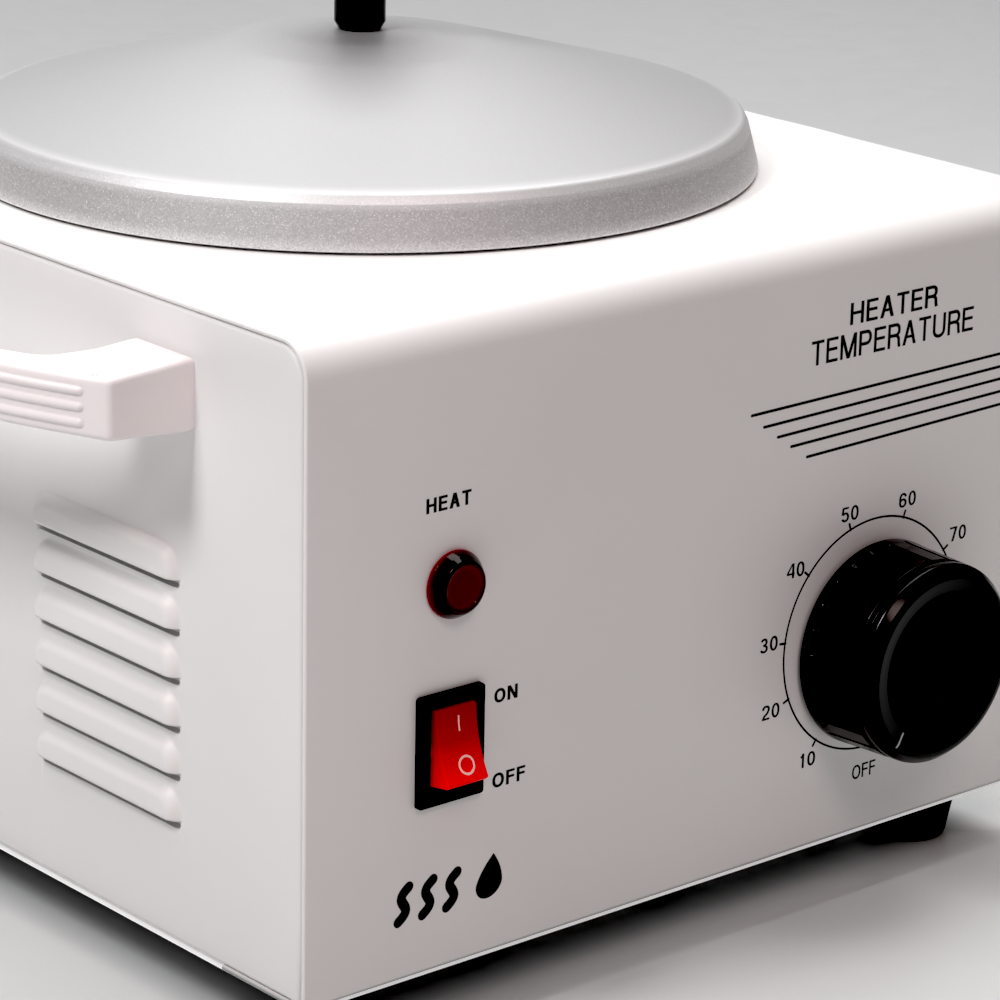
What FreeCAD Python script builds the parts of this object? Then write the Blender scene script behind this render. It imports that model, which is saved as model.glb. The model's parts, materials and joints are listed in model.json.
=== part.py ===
import FreeCAD, Part
import math
import os
import Sketcher

# A wax warmer: a folded steel housing with louvered sides, a heating well under a
# domed lid, a thermostat dial, rocker switch and indicator on the front, two bowed
# handles, four feet, the wiring inside, and a cord with its plug at the back.
# Millimetres and degrees. +Z is up, +X to the right seen from the front, the front
# faces -Y, and the origin is on the table under the middle of the housing.

Vector = FreeCAD.Vector
Rotation = FreeCAD.Rotation
doc = FreeCAD.newDocument("wax_warmer")

# Driving dimensions: alias, value, note
SIZES = [
    ("body_width", 188.0, "outside width of the housing"),
    ("body_depth", 208.0, "outside depth of the housing"),
    ("body_height", 122.0, "housing height, bottom flange to deck"),
    ("foot_height", 13.0, "table to the underside of the bottom flange"),
    ("sheet_thick", 1.0, "steel sheet thickness"),
    ("bend_radius", 7.0, "outer bend radius, deck to front and back"),
    ("hem_radius", 1.7, "outer bend radius at the bottom flange"),
    ("flange_depth", 24.0, "bottom flange depth, front and back"),
    ("pan_depth", 9.0, "side pan flange depth"),
    ("deck_hole_radius", 70.4, "opening in the deck for the well"),
    ("lid_radius", 79.5, "lid skirt radius at the rim"),
    ("lid_skirt_top_radius", 77.4, "lid skirt radius at its top"),
    ("lid_skirt_rise", 9.0, "height of the lid skirt"),
    ("lid_wall", 1.2, "lid wall thickness"),
    ("lid_apex_rise", 26.1, "lid apex above the deck"),
    ("lid_knob_neck", 5.3, "lid knob neck radius"),
    ("lid_knob_radius", 15.0, "lid knob head radius"),
    ("lid_knob_rise", 32.0, "lid knob height"),
    ("well_radius", 69.2, "outer radius of the heating well"),
    ("well_wall", 1.2, "well wall thickness"),
    ("well_floor", 2.0, "well floor thickness"),
    ("well_bottom", 55.0, "underside of the well above the table"),
    ("well_flange_radius", 76.5, "well flange radius"),
    ("gasket_thick", 0.6, "well gasket thickness"),
    ("dial_x", 45.2, "dial axis, across"),
    ("dial_z", 52.7, "dial axis above the table"),
    ("dial_rest", -40.0, "pointer direction of the dial as it stands, from straight down"),
    ("dial_radius", 20.6, "dial skirt radius"),
    ("dial_cap_radius", 19.9, "dial cap radius"),
    ("dial_proud", 19.0, "dial front face ahead of the panel"),
    ("dial_gap", 0.7, "gap between dial skirt and panel"),
    ("spindle_radius", 3.0, "thermostat spindle radius"),
    ("switch_x", -61.9, "switch centre, across"),
    ("switch_z", 56.2, "switch centre above the table"),
    ("bezel_width", 15.0, "switch bezel width"),
    ("bezel_tall", 21.0, "switch bezel height"),
    ("bezel_thick", 1.5, "switch bezel thickness"),
    ("rocker_width", 9.7, "rocker width"),
    ("rocker_tilt", 16.0, "rocker tilt either side of the middle"),
    ("trunnion_radius", 1.2, "rocker trunnion radius"),
    ("lamp_x", -61.2, "indicator centre, across"),
    ("lamp_z", 86.3, "indicator centre above the table"),
    ("lens_radius", 6.35, "indicator lens flange radius"),
    ("foot_radius", 9.6, "foot radius at the top"),
    ("foot_tip_radius", 7.6, "foot radius at the table"),
    ("foot_x", 76.5, "foot centre, across"),
    ("foot_y", 87.0, "foot centre, front to back"),
    ("handle_z", 119.2, "middle of the handle above the table"),
    ("handle_tall", 13.6, "handle height at the root"),
    ("handle_leg_y", 62.6, "handle leg centre, front to back"),
    ("cord_radius", 3.2, "power cord radius"),
    ("cord_x", 50.0, "cord exit, across"),
    ("cord_z", 38.0, "cord exit above the table"),
    ("wire_radius", 1.1, "internal wire radius"),
]
sheet = doc.addObject("Spreadsheet::Sheet", "dims")
for row, (alias, value, note) in enumerate(SIZES, start=1):
    sheet.set("A%d" % row, alias)
    sheet.set("B%d" % row, repr(value))
    sheet.set("C%d" % row, note)
    sheet.setAlias("B%d" % row, alias)
doc.recompute()


class Dim:
    """A number together with the spreadsheet expression it comes from."""

    def __init__(self, value, text=None):
        self.value = float(value)
        self.text = text if text is not None else repr(float(value))

    @property
    def driven(self):
        return "dims." in self.text

    def mix(self, other, sign, combine):
        other = dim(other)
        return Dim(combine(self.value, other.value), "(%s %s %s)" % (self.text, sign, other.text))

    def __add__(self, other):
        return self.mix(other, "+", lambda a, b: a + b)

    def __sub__(self, other):
        return self.mix(other, "-", lambda a, b: a - b)

    def __rsub__(self, other):
        return Dim(other) - self

    def __mul__(self, other):
        return self.mix(other, "*", lambda a, b: a * b)

    def __rmul__(self, other):
        return Dim(other) * self

    def __truediv__(self, other):
        return self.mix(other, "/", lambda a, b: a / b)

    def __neg__(self):
        return Dim(-self.value, "(0 - %s)" % self.text)


def dim(number):
    return number if isinstance(number, Dim) else Dim(number)


class Dims:
    """The sheet's aliases as attributes."""


dims = Dims()
for alias, value, note in SIZES:
    setattr(dims, alias, Dim(sheet.get(alias), "dims." + alias))

nodes = []          # every object that is written to a file
features = []       # every PartDesign feature, numbered in order


# ---------------------------------------------------------------------------
# Placing
# ---------------------------------------------------------------------------
def point(x, y, z):
    return Vector(dim(x).value, dim(y).value, dim(z).value)


def place(obj, position, rotation=None):
    """Put obj at a position; coordinates that come from the sheet stay bound to it."""
    obj.Placement = FreeCAD.Placement(point(*position), rotation or Rotation())
    for axis, coordinate in zip("xyz", position):
        if dim(coordinate).driven:
            obj.setExpression("Placement.Base." + axis, coordinate.text)


def frame(ex, ey, ez):
    """Rotation that takes the local axes to the directions ex, ey and ez."""
    matrix = FreeCAD.Matrix(ex[0], ey[0], ez[0], 0,
                            ex[1], ey[1], ez[1], 0,
                            ex[2], ey[2], ez[2], 0,
                            0, 0, 0, 1)
    return FreeCAD.Placement(matrix).Rotation


X_AXIS, Y_AXIS, Z_AXIS = Vector(1, 0, 0), Vector(0, 1, 0), Vector(0, 0, 1)

# Where local +Z looks: out of the front, back, left side or right side
FRONT = Rotation(X_AXIS, 90)
REAR = Rotation(X_AXIS, -90)
LEFT = frame((0, -1, 0), (0, 0, 1), (-1, 0, 0))
RIGHT = frame((0, 1, 0), (0, 0, 1), (1, 0, 0))
SIDES = (("left", -1, LEFT), ("right", 1, RIGHT))
CORNERS = [(sx, sy) for sx in (-1, 1) for sy in (-1, 1)]


# ---------------------------------------------------------------------------
# Bodies and sketches
# ---------------------------------------------------------------------------
def new_body(name, node=True):
    part = doc.addObject("PartDesign::Body", name)
    part.Label = name
    if node:
        nodes.append(part)
    return part


def origin_feature(part, role):
    return [o for o in part.Origin.OriginFeatures if o.Role == role][0]


def new_sketch(part, name, plane="XY", offset=0.0):
    """Sketch on an origin plane of the part. The normal of XZ looks towards -Y."""
    sketch = part.newObject("Sketcher::SketchObject", name)
    sketch.AttachmentSupport = [(origin_feature(part, plane + "_Plane"), "")]
    sketch.MapMode = "FlatFace"
    offset = dim(offset)
    sketch.AttachmentOffset = FreeCAD.Placement(Vector(0, 0, offset.value), Rotation())
    if offset.driven:
        sketch.setExpression("AttachmentOffset.Base.z", offset.text)
    return sketch


def fix(sketch, kind, *args):
    """Add a constraint whose last argument is a Dim."""
    size = args[-1]
    index = sketch.addConstraint(Sketcher.Constraint(kind, *args[:-1], size.value))
    if size.driven:
        sketch.setExpression("Constraints[%d]" % index, size.text)


def pin(sketch, geometry, vertex, x, y):
    """Fix a vertex at (x, y); a plain zero puts it on the sketch axis instead."""
    for kind, size, axis in (("DistanceX", dim(x), -2), ("DistanceY", dim(y), -1)):
        if abs(size.value) < 1e-9 and not size.driven:
            sketch.addConstraint(Sketcher.Constraint("PointOnObject", geometry, vertex, axis))
        else:
            fix(sketch, kind, -1, 1, geometry, vertex, size)


def loop(sketch, points):
    """Closed outline. Each entry is (x, y), or (x, y, mid_x, mid_y) when the step to
    the next point is an arc through (mid_x, mid_y)."""
    count = len(points)
    base = sketch.GeometryCount
    ends = []       # start and end vertex of each piece, in the direction of the outline
    for i in range(count):
        here, following = points[i], points[(i + 1) % count]
        start = point(here[0], here[1], 0)
        end = point(following[0], following[1], 0)
        if len(here) == 4:
            middle = point(here[2], here[3], 0)
            arc = Part.Arc(start, middle, end).toShape().Curve
            centre, radius = arc.Center, arc.Radius
            ccw = ((middle - start).cross(end - middle)).z > 0
            first, last = (start, end) if ccw else (end, start)
            angle_0 = math.atan2(first.y - centre.y, first.x - centre.x)
            angle_1 = math.atan2(last.y - centre.y, last.x - centre.x)
            if angle_1 <= angle_0:
                angle_1 += 2 * math.pi
            ring = Part.Circle(centre, Vector(0, 0, 1), radius)
            sketch.addGeometry(Part.ArcOfCircle(ring, angle_0, angle_1), False)
            ends.append((1, 2) if ccw else (2, 1))
            sketch.addConstraint(Sketcher.Constraint("Radius", base + i, radius))
        else:
            sketch.addGeometry(Part.LineSegment(start, end), False)
            ends.append((1, 2))
    for i in range(count):
        j = (i + 1) % count
        sketch.addConstraint(
            Sketcher.Constraint("Coincident", base + i, ends[i][1], base + j, ends[j][0]))
    for i in range(count):
        pin(sketch, base + i, ends[i][0], points[i][0], points[i][1])


def circle(sketch, x, y, radius):
    radius = dim(radius)
    ring = Part.Circle(point(x, y, 0), Vector(0, 0, 1), radius.value)
    geometry = sketch.addGeometry(ring, False)
    fix(sketch, "Radius", geometry, radius)
    pin(sketch, geometry, 3, x, y)


def rectangle(sketch, x, y, width, height):
    """Rectangle centred on (x, y)."""
    half_x, half_y = dim(width) / 2, dim(height) / 2
    x, y = dim(x), dim(y)
    loop(sketch, [(x - half_x, y - half_y), (x + half_x, y - half_y),
                  (x + half_x, y + half_y), (x - half_x, y + half_y)])


# ---------------------------------------------------------------------------
# Features
# ---------------------------------------------------------------------------
def new_feature(part, kind, tag):
    name = "%s_%s_%d" % (part.Name, tag, len(features) + 1)
    feature = part.newObject("PartDesign::" + kind, name)
    features.append(feature)
    return feature


def finish(part, feature):
    part.Tip = feature
    doc.recompute()
    return feature


def finish_cut(part, feature, margin):
    """Finish a feature that has to take away more than margin of volume."""
    before = part.Shape.Volume
    finish(part, feature)
    if not part.Shape.Volume < before - margin:
        raise RuntimeError("%s cut nothing" % feature.Name)
    return feature


def bind(obj, prop, size):
    size = dim(size)
    setattr(obj, prop, size.value)
    if size.driven:
        obj.setExpression(prop, size.text)


def extrusion(part, kind, tag, sketch, length, symmetric, reverse):
    feature = new_feature(part, kind, tag)
    feature.Profile = sketch
    bind(feature, "Length", length)
    if symmetric:
        feature.SideType = "Symmetric"
    feature.Reversed = reverse
    return feature


def pad(part, sketch, length, symmetric=False, reverse=False):
    return finish(part, extrusion(part, "Pad", "pad", sketch, length, symmetric, reverse))


def pocket(part, sketch, length, symmetric=False, reverse=False):
    """Cut against the sketch normal, or along it when reversed."""
    # volume is read before the feature exists, so the body is still the last good one
    before = part.Shape.Volume
    feature = finish(
        part, extrusion(part, "Pocket", "cut", sketch, length, symmetric, reverse))
    if not part.Shape.Volume < before - 1e-3:
        raise RuntimeError("%s cut nothing" % feature.Name)
    return feature


def revolve(part, sketch):
    feature = new_feature(part, "Revolution", "turn")
    feature.Profile = sketch
    feature.ReferenceAxis = (sketch, ["V_Axis"])
    feature.Angle = 360.0
    finish(part, feature)


def loft(part, kind, tag, first, last):
    feature = new_feature(part, kind, tag)
    feature.Profile = first
    feature.Sections = [last]
    if kind == "SubtractiveLoft":
        return finish_cut(part, feature, 0.0)
    return finish(part, feature)


def dress(part, kind, size, choose):
    """Fillet or chamfer on the edges of the tip that choose(edge) picks."""
    base = part.Tip
    names = ["Edge%d" % i for i, edge in enumerate(base.Shape.Edges, start=1) if choose(edge)]
    if not names:
        raise RuntimeError("no edges for %s on %s" % (kind, part.Name))
    feature = new_feature(part, kind, "edge")
    feature.Base = (base, names)
    bind(feature, "Radius" if kind == "Fillet" else "Size", size)
    finish(part, feature)


def row_down(part, originals, length, count):
    """Repeat features along local -Y."""
    feature = new_feature(part, "LinearPattern", "row")
    feature.Originals = originals
    feature.Direction = (origin_feature(part, "Y_Axis"), [""])
    feature.Length = length
    feature.Reversed = True
    feature.Occurrences = count
    finish(part, feature)


def ring_of(part, originals, count):
    """Repeat features evenly round local Z."""
    feature = new_feature(part, "PolarPattern", "ring")
    feature.Originals = originals
    feature.Axis = (origin_feature(part, "Z_Axis"), [""])
    feature.Angle = 360.0
    feature.Occurrences = count
    finish(part, feature)


# Edge selectors
def along(edge, axis):
    if edge.Curve.TypeId != "Part::GeomLine":
        return False
    run = edge.Vertexes[-1].Point - edge.Vertexes[0].Point
    return abs(abs(run.normalize().dot(axis)) - 1) < 1e-6


def start_of(edge):
    return edge.Vertexes[0].Point


def level_at(edge, z):
    return all(abs(vertex.Point.z - z) < 0.01 for vertex in edge.Vertexes)


# ---------------------------------------------------------------------------
# Whole pieces
# ---------------------------------------------------------------------------
def turned(name, profile, position=(0, 0, 0), rotation=None, node=True):
    """Body of revolution about local Z from (radius, height) points."""
    part = new_body(name, node)
    section = new_sketch(part, name + "_profile", "XZ")
    loop(section, profile)
    revolve(part, section)
    place(part, position, rotation)
    return part


def shape_node(name, shape):
    """A node whose shape is made in code, with sizes read from the sheet."""
    obj = doc.addObject("Part::Feature", name)
    obj.Label = name
    obj.Shape = shape
    nodes.append(obj)


def compound_node(name, shapes):
    shape_node(name, Part.makeCompound(shapes))


def copy_at(part, x, y, z, rotation=None):
    shape = part.Shape.copy()
    shape.Placement = FreeCAD.Placement(point(x, y, z), rotation or Rotation())
    return shape


def pan_screw(name, head_radius, head_height, shank_radius, length, node=False):
    """Cross-slot pan head screw: head below z = 0, shank above."""
    part = new_body(name, node)
    section = new_sketch(part, name + "_profile", "XZ")
    loop(section, [
        (0, -head_height),
        (head_radius * 0.62, -head_height, head_radius * 0.93, -head_height * 0.72),
        (head_radius, -head_height * 0.3), (head_radius, 0), (shank_radius, 0),
        (shank_radius, length - shank_radius * 0.5), (shank_radius * 0.5, length), (0, length)])
    revolve(part, section)
    slot_long, slot_wide = head_radius * 1.25, head_radius * 0.22
    for k, (width, height) in enumerate(((slot_long, slot_wide), (slot_wide, slot_long))):
        slot = new_sketch(part, "%s_cross_%d" % (name, k), "XY", -head_height - 0.5)
        rectangle(slot, 0, 0, width, height)
        pocket(part, slot, head_height * 0.45 + 0.5, reverse=True)
    return part


thick = dims.sheet_thick
flange_z = dims.foot_height                  # underside of the bottom flange
deck_z = dims.foot_height + dims.body_height
plate_z = flange_z - thick                   # underside of the base plate
half_width = dims.body_width / 2
half_depth = dims.body_depth / 2
inner_y = half_depth - thick                 # inside face of the front and back
front_y = -half_depth

base_screw_x, base_screw_y = 45.0, half_depth - 14
foot_x, foot_y = dims.foot_x, dims.foot_y
thermostat_screw_x = 14.0                    # either side of the dial axis

# ---------------------------------------------------------------------------
# Housing wrap: one folded sheet, front, deck and back, with bottom flanges
# ---------------------------------------------------------------------------
wrap = new_body("housing_wrap")
section = new_sketch(wrap, "wrap_profile", "YZ")
flange_edge = half_depth - dims.flange_depth
loop(section, [
    (-half_depth, flange_z), (-half_depth, deck_z), (half_depth, deck_z),
    (half_depth, flange_z), (flange_edge, flange_z), (flange_edge, flange_z + thick),
    (inner_y, flange_z + thick), (inner_y, deck_z - thick), (-inner_y, deck_z - thick),
    (-inner_y, flange_z + thick), (-flange_edge, flange_z + thick), (-flange_edge, flange_z)])
pad(wrap, section, dims.body_width, symmetric=True)


def bend_at(y, z):
    """Picks edges along X at this height, at y both front and back."""
    return lambda edge: (along(edge, X_AXIS)
                         and abs(abs(start_of(edge).y) - y.value) < 0.01
                         and abs(start_of(edge).z - z.value) < 0.01)


for radius, y, z in (
        (dims.bend_radius, half_depth, deck_z),
        (dims.bend_radius - thick, inner_y, deck_z - thick),
        (dims.hem_radius, half_depth, flange_z),
        (dims.hem_radius - thick, inner_y, flange_z + thick)):
    dress(wrap, "Fillet", radius, bend_at(y, z))

hole = new_sketch(wrap, "deck_opening", "XY", deck_z + 1)
circle(hole, 0, 0, dims.deck_hole_radius)
pocket(wrap, hole, 4.0)

hole = new_sketch(wrap, "front_openings", "XZ", half_depth + 1)
rectangle(hole, dims.switch_x, dims.switch_z, dims.bezel_width - 1.8, dims.bezel_tall - 1.8)
circle(hole, dims.lamp_x, dims.lamp_z, 5.1)
circle(hole, dims.dial_x, dims.dial_z, 5.0)
circle(hole, dims.dial_x - thermostat_screw_x, dims.dial_z, 1.6)
circle(hole, dims.dial_x + thermostat_screw_x, dims.dial_z, 1.6)
pocket(wrap, hole, 4.0)

hole = new_sketch(wrap, "rear_opening", "XZ", 1 - half_depth)
circle(hole, dims.cord_x, dims.cord_z, 7.6)
pocket(wrap, hole, 4.0)

hole = new_sketch(wrap, "flange_holes", "XY", flange_z + 3)
for sx, sy in CORNERS:
    circle(hole, sx * base_screw_x, sy * base_screw_y, 1.5)
    circle(hole, sx * foot_x, sy * foot_y, 2.2)
pocket(wrap, hole, 6.0)

# ---------------------------------------------------------------------------
# Side panels: shallow pressed pans inside the wrap, with two columns of six
# pressed louvers that open downwards. Local frame: y up, z out of the side.
# ---------------------------------------------------------------------------
LOUVER_COLUMNS = (-68.1, 23.1)      # local x where each column starts
LOUVER_LENGTH = 45.0
LOUVER_TOP_LIP = 83.85              # lip of the highest louver
LOUVER_PITCH = 9.19
LOUVER_COUNT = 6

# Louver outlines: name, plane offset, drop below the lip, then inset from the ends
# and rise above the lip at the arc start, arc middle and arc end
LOUVER_OUTLINES = {
    "louver_foot": (-0.5, 0.0, 0.0, 1.4, 1.5, 4.8, 5.0, 6.3),
    "louver_top": (2.1, 0.0, 2.0, 1.0, 3.0, 3.2, 5.6, 4.2),
    "slot_foot": (-1.5, 0.02, 1.0, 1.2, 2.3, 4.1, 5.4, 5.3),
    "slot_top": (1.35, 0.02, 2.9, 0.8, 3.8, 2.6, 6.0, 3.4),
}


def louver_sketch(part, kind, column):
    offset, drop, inset_0, rise_0, inset_1, rise_1, inset_2, rise_2 = LOUVER_OUTLINES[kind]
    x0 = LOUVER_COLUMNS[column]
    x1 = x0 + LOUVER_LENGTH
    lip = LOUVER_TOP_LIP
    sketch = new_sketch(part, "%s_%s_%d" % (part.Name, kind, column), "XY", offset)
    loop(sketch, [
        (x0 + inset_0, lip - drop), (x1 - inset_0, lip - drop),
        (x1 - inset_0, lip + rise_0, x1 - inset_1, lip + rise_1), (x1 - inset_2, lip + rise_2),
        (x0 + inset_2, lip + rise_2, x0 + inset_1, lip + rise_1), (x0 + inset_0, lip + rise_0)])
    return sketch


def side_panel(name, side, rotation):
    panel = new_body(name)
    low, high = flange_z + thick, deck_z - thick
    face = new_sketch(panel, name + "_outline")
    loop(face, [(-inner_y, low), (inner_y, low), (inner_y, high), (-inner_y, high)])
    pad(panel, face, dims.pan_depth, reverse=True)
    dress(panel, "Fillet", dims.bend_radius - thick + 0.3,
          lambda edge: along(edge, Z_AXIS) and start_of(edge).y > 60)
    dress(panel, "Fillet", 1.0,
          lambda edge: along(edge, Z_AXIS) and start_of(edge).y < 60)
    dress(panel, "Fillet", 0.9, lambda edge: level_at(edge, 0.0))
    face = new_sketch(panel, name + "_hollow", "XY", -thick)
    loop(face, [(1.2 - inner_y, low + 1.0), (inner_y - 1.2, low + 1.0),
                (inner_y - 1.2, high - 6.0), (inner_y - 6.5, high - 1.0),
                (6.5 - inner_y, high - 1.0), (1.2 - inner_y, high - 6.0)])
    pocket(panel, face, dims.pan_depth + 1)

    for column in range(len(LOUVER_COLUMNS)):
        lofts = []
        for kind, tag in (("AdditiveLoft", "louver"), ("SubtractiveLoft", "slot")):
            foot = louver_sketch(panel, tag + "_foot", column)
            top = louver_sketch(panel, tag + "_top", column)
            lofts.append(loft(panel, kind, tag, foot, top))
        row_down(panel, lofts, LOUVER_PITCH * (LOUVER_COUNT - 1), LOUVER_COUNT)

    face = new_sketch(panel, name + "_holes", "XY", 1)
    for sgn in (-1, 1):
        circle(face, sgn * dims.handle_leg_y, dims.handle_z, 2.2)
    pocket(panel, face, 4.0)
    place(panel, (side * half_width, 0, 0), rotation)


for word, side, rotation in SIDES:
    side_panel("side_panel_" + word, side, rotation)

# ---------------------------------------------------------------------------
# Base plate with vent slots, screwed under the bottom flanges
# ---------------------------------------------------------------------------
vent_x, vent_length, vent_width, vent_pitch = 42.0, 44.0, 4.0, 15.0
earth_x, earth_y = -70, 40

plate = new_body("base_plate")
face = new_sketch(plate, "plate_outline", "XY", plate_z)
rectangle(face, 0, 0, dims.body_width - 3.2, dims.body_depth - 3.6)
circle(face, 0, 0, 2.8)
for sx, sy in CORNERS:
    circle(face, sx * base_screw_x, sy * base_screw_y, 1.8)
    circle(face, sx * foot_x, sy * foot_y, 2.2)
circle(face, earth_x, earth_y, 2.2)
for sx in (-1, 1):
    for k in range(-2, 3):
        rectangle(face, sx * vent_x, k * vent_pitch, vent_length, vent_width)
pad(plate, face, thick)
# plate corners, then the ends of the vent slots
dress(plate, "Fillet", 3.0, lambda edge: (
    along(edge, Z_AXIS) and abs(abs(start_of(edge).x) - (half_width.value - 1.6)) < 0.01))
dress(plate, "Fillet", 1.9, lambda edge: (
    along(edge, Z_AXIS)
    and abs(abs(abs(start_of(edge).x) - vent_x) - vent_length / 2) < 1))

base_screw = pan_screw("base_screw_master", 3.1, 2.0, 1.45, 6.0)
compound_node("base_screws", [
    copy_at(base_screw, sx * base_screw_x, sy * base_screw_y, plate_z) for sx, sy in CORNERS])

# ---------------------------------------------------------------------------
# Feet: tapered rubber, each with a counterbore for its screw
# ---------------------------------------------------------------------------
foot_seat = 6.0                     # screw head seat above the table
foot = turned("foot_master", [
    (2.3, foot_seat), (5.6, foot_seat), (5.6, 0.0), (dims.foot_tip_radius - 0.8, 0.0),
    (dims.foot_tip_radius, 0.8), (dims.foot_radius, plate_z - 0.8),
    (dims.foot_radius - 0.6, plate_z), (2.3, plate_z)], node=False)
compound_node("rubber_feet", [
    copy_at(foot, sx * foot_x, sy * foot_y, 0) for sx, sy in CORNERS])
foot_screw = pan_screw("foot_screw_master", 4.6, 2.6, 2.0, 12.5)
compound_node("foot_screws", [
    copy_at(foot_screw, sx * foot_x, sy * foot_y, foot_seat) for sx, sy in CORNERS])


# ---------------------------------------------------------------------------
# Handles: bowed moulding, two stout legs, three ribs along the grip.
# Local frame: x along the side, y up, z outwards.
# ---------------------------------------------------------------------------
def handle(name, side, rotation):
    grip = new_body(name)
    half = dims.handle_tall / 2
    leg = dims.handle_leg_y
    face = new_sketch(grip, name + "_plan", "XZ", -half)
    loop(face, [
        (-leg - 10.1, 0.0), (-leg + 6.8, 0.0), (-leg + 6.8, 8.5, -leg + 10.8, 17.6),
        (-leg + 21.6, 21.6, 0, 26.3), (leg - 21.6, 21.6, leg - 10.8, 17.6), (leg - 6.8, 8.5),
        (leg - 6.8, 0.0), (leg + 10.1, 0.0), (leg + 9.6, 18.0, 0, 34.0), (-leg - 9.6, 18.0)])
    pad(grip, face, dims.handle_tall)

    face = new_sketch(grip, name + "_inserts")
    circle(face, -leg, 0, 1.95)
    circle(face, leg, 0, 1.95)
    pocket(grip, face, 11.0, reverse=True)

    # the moulding gets slimmer towards the grip, above and below
    for k, sgn in enumerate((-1, 1)):
        face = new_sketch(grip, "%s_taper_%d" % (name, k), "YZ")
        loop(face, [(sgn * (half + 1), -0.5), (sgn * half, -0.5), (sgn * half, 2.0),
                    (sgn * (half - 1.2), 17.0), (sgn * (half - 1.3), 36.0),
                    (sgn * (half + 1), 36.0)])
        pocket(grip, face, 200.0, symmetric=True)

    rib_pitch, rib_width = 3.3, 1.3
    for k in range(3):
        y = rib_pitch * (k - 1)
        face = new_sketch(grip, "%s_rib_%d" % (name, k), "XZ", -y - rib_width / 2)
        loop(face, [(-leg - 4.5, 19.0), (-leg - 4.0, 21.3, 0, 34.75), (leg + 4.0, 21.3),
                    (leg + 4.5, 19.0), (leg - 2.0, 20.0, 0, 33.0), (-leg + 2.0, 20.0)])
        pad(grip, face, rib_width)

    # long outer edges of the grip
    dress(grip, "Fillet", 0.8, lambda edge: (
        edge.Length > 100
        and abs(abs(start_of(edge).y) - (half.value - 1.28)) < 0.25
        and edge.BoundBox.ZMax > 30.0))
    place(grip, (side * half_width, 0, dims.handle_z), rotation)


for word, side, rotation in SIDES:
    handle("handle_" + word, side, rotation)

handle_bolt = pan_screw("handle_bolt_master", 3.9, 2.6, 1.9, 11.0)
compound_node("handle_bolts", [
    copy_at(handle_bolt, side * (half_width - thick), sgn * dims.handle_leg_y,
            dims.handle_z, rotation)
    for word, side, rotation in SIDES for sgn in (-1, 1)])

# ---------------------------------------------------------------------------
# Heating well with its threaded boss, and the gasket under its flange
# ---------------------------------------------------------------------------
seat_z = deck_z + dims.gasket_thick          # underside of the well flange
well_z = dims.well_bottom
well_radius = dims.well_radius
bore = well_radius - dims.well_wall          # inside radius of the well
floor_z = well_z + dims.well_floor
boss_z = well_z - 8                          # lower end of the boss

well = turned("heating_well", [
    (0, floor_z), (bore - 8, floor_z, bore - 2.34, floor_z + 2.34), (bore, floor_z + 8),
    (bore, seat_z + 0.2, bore + 0.3, seat_z + 0.9), (bore + 1.0, seat_z + 1.2),
    (dims.well_flange_radius, seat_z + 1.2), (dims.well_flange_radius, seat_z),
    (well_radius, seat_z), (well_radius, well_z + 9, well_radius - 2.64, well_z + 2.64),
    (well_radius - 9, well_z), (7.0, well_z), (7.0, boss_z), (0, boss_z)])
hole = new_sketch(well, "boss_thread", "XY", boss_z - 1)
circle(hole, 0, 0, 2.55)
pocket(well, hole, 7.5, reverse=True)

gasket_inner, gasket_outer = well_radius + 1.9, dims.well_flange_radius - 0.5
turned("well_gasket", [(gasket_inner, deck_z), (gasket_outer, deck_z),
                       (gasket_outer, seat_z), (gasket_inner, seat_z)])


# ---------------------------------------------------------------------------
# Open rings round the well: heater, clamp and blanket, all with the gap at +Y
# ---------------------------------------------------------------------------
def open_ring(name, inner, outer, low, high, gap_angle):
    """Turned ring with a wedge taken out at the back."""
    part = new_body(name)
    section = new_sketch(part, name + "_section", "XZ")
    loop(section, [(inner, low), (outer, low), (outer, high), (inner, high)])
    revolve(part, section)
    wedge = new_sketch(part, name + "_gap", "XY", low - 1)
    reach = 130.0
    angles = [math.radians(90 + sgn * gap_angle / 2) for sgn in (-1, 1)]
    loop(wedge, [(0, 0)] + [(reach * math.cos(a), reach * math.sin(a)) for a in angles])
    pocket(part, wedge, high - low + 2, reverse=True)
    return part


clamp_low, clamp_high, clamp_gap = 76.0, 90.0, 10.0
clamp_bolt_y, clamp_bolt_z = 78.2, 83.0

open_ring("heater_band", well_radius + 0.05, well_radius + 2.8, 64.0, 102.0, 10.0)
clamp = open_ring("heater_clamp", well_radius + 2.85, well_radius + 3.55,
                  clamp_low, clamp_high, clamp_gap)
# two ears, one on each side of the gap
ear_angle = math.radians(90 - clamp_gap / 2)
ear_x = (well_radius + 2.86) * math.cos(ear_angle)
ear_y = (well_radius + 2.9) * math.sin(ear_angle)
for k, sgn in enumerate((-1, 1)):
    ear = new_sketch(clamp, "clamp_ear_%d" % k, "XY", clamp_low)
    loop(ear, [(sgn * ear_x, ear_y + 0.05), (sgn * (ear_x + 0.9), ear_y + 0.05),
               (sgn * (ear_x + 0.9), ear_y + 11.0), (sgn * ear_x, ear_y + 11.0)])
    pad(clamp, ear, clamp_high - clamp_low)
hole = new_sketch(clamp, "clamp_ear_hole", "YZ")
circle(hole, clamp_bolt_y, clamp_bolt_z, 2.15)
pocket(clamp, hole, 30.0, symmetric=True)

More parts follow.
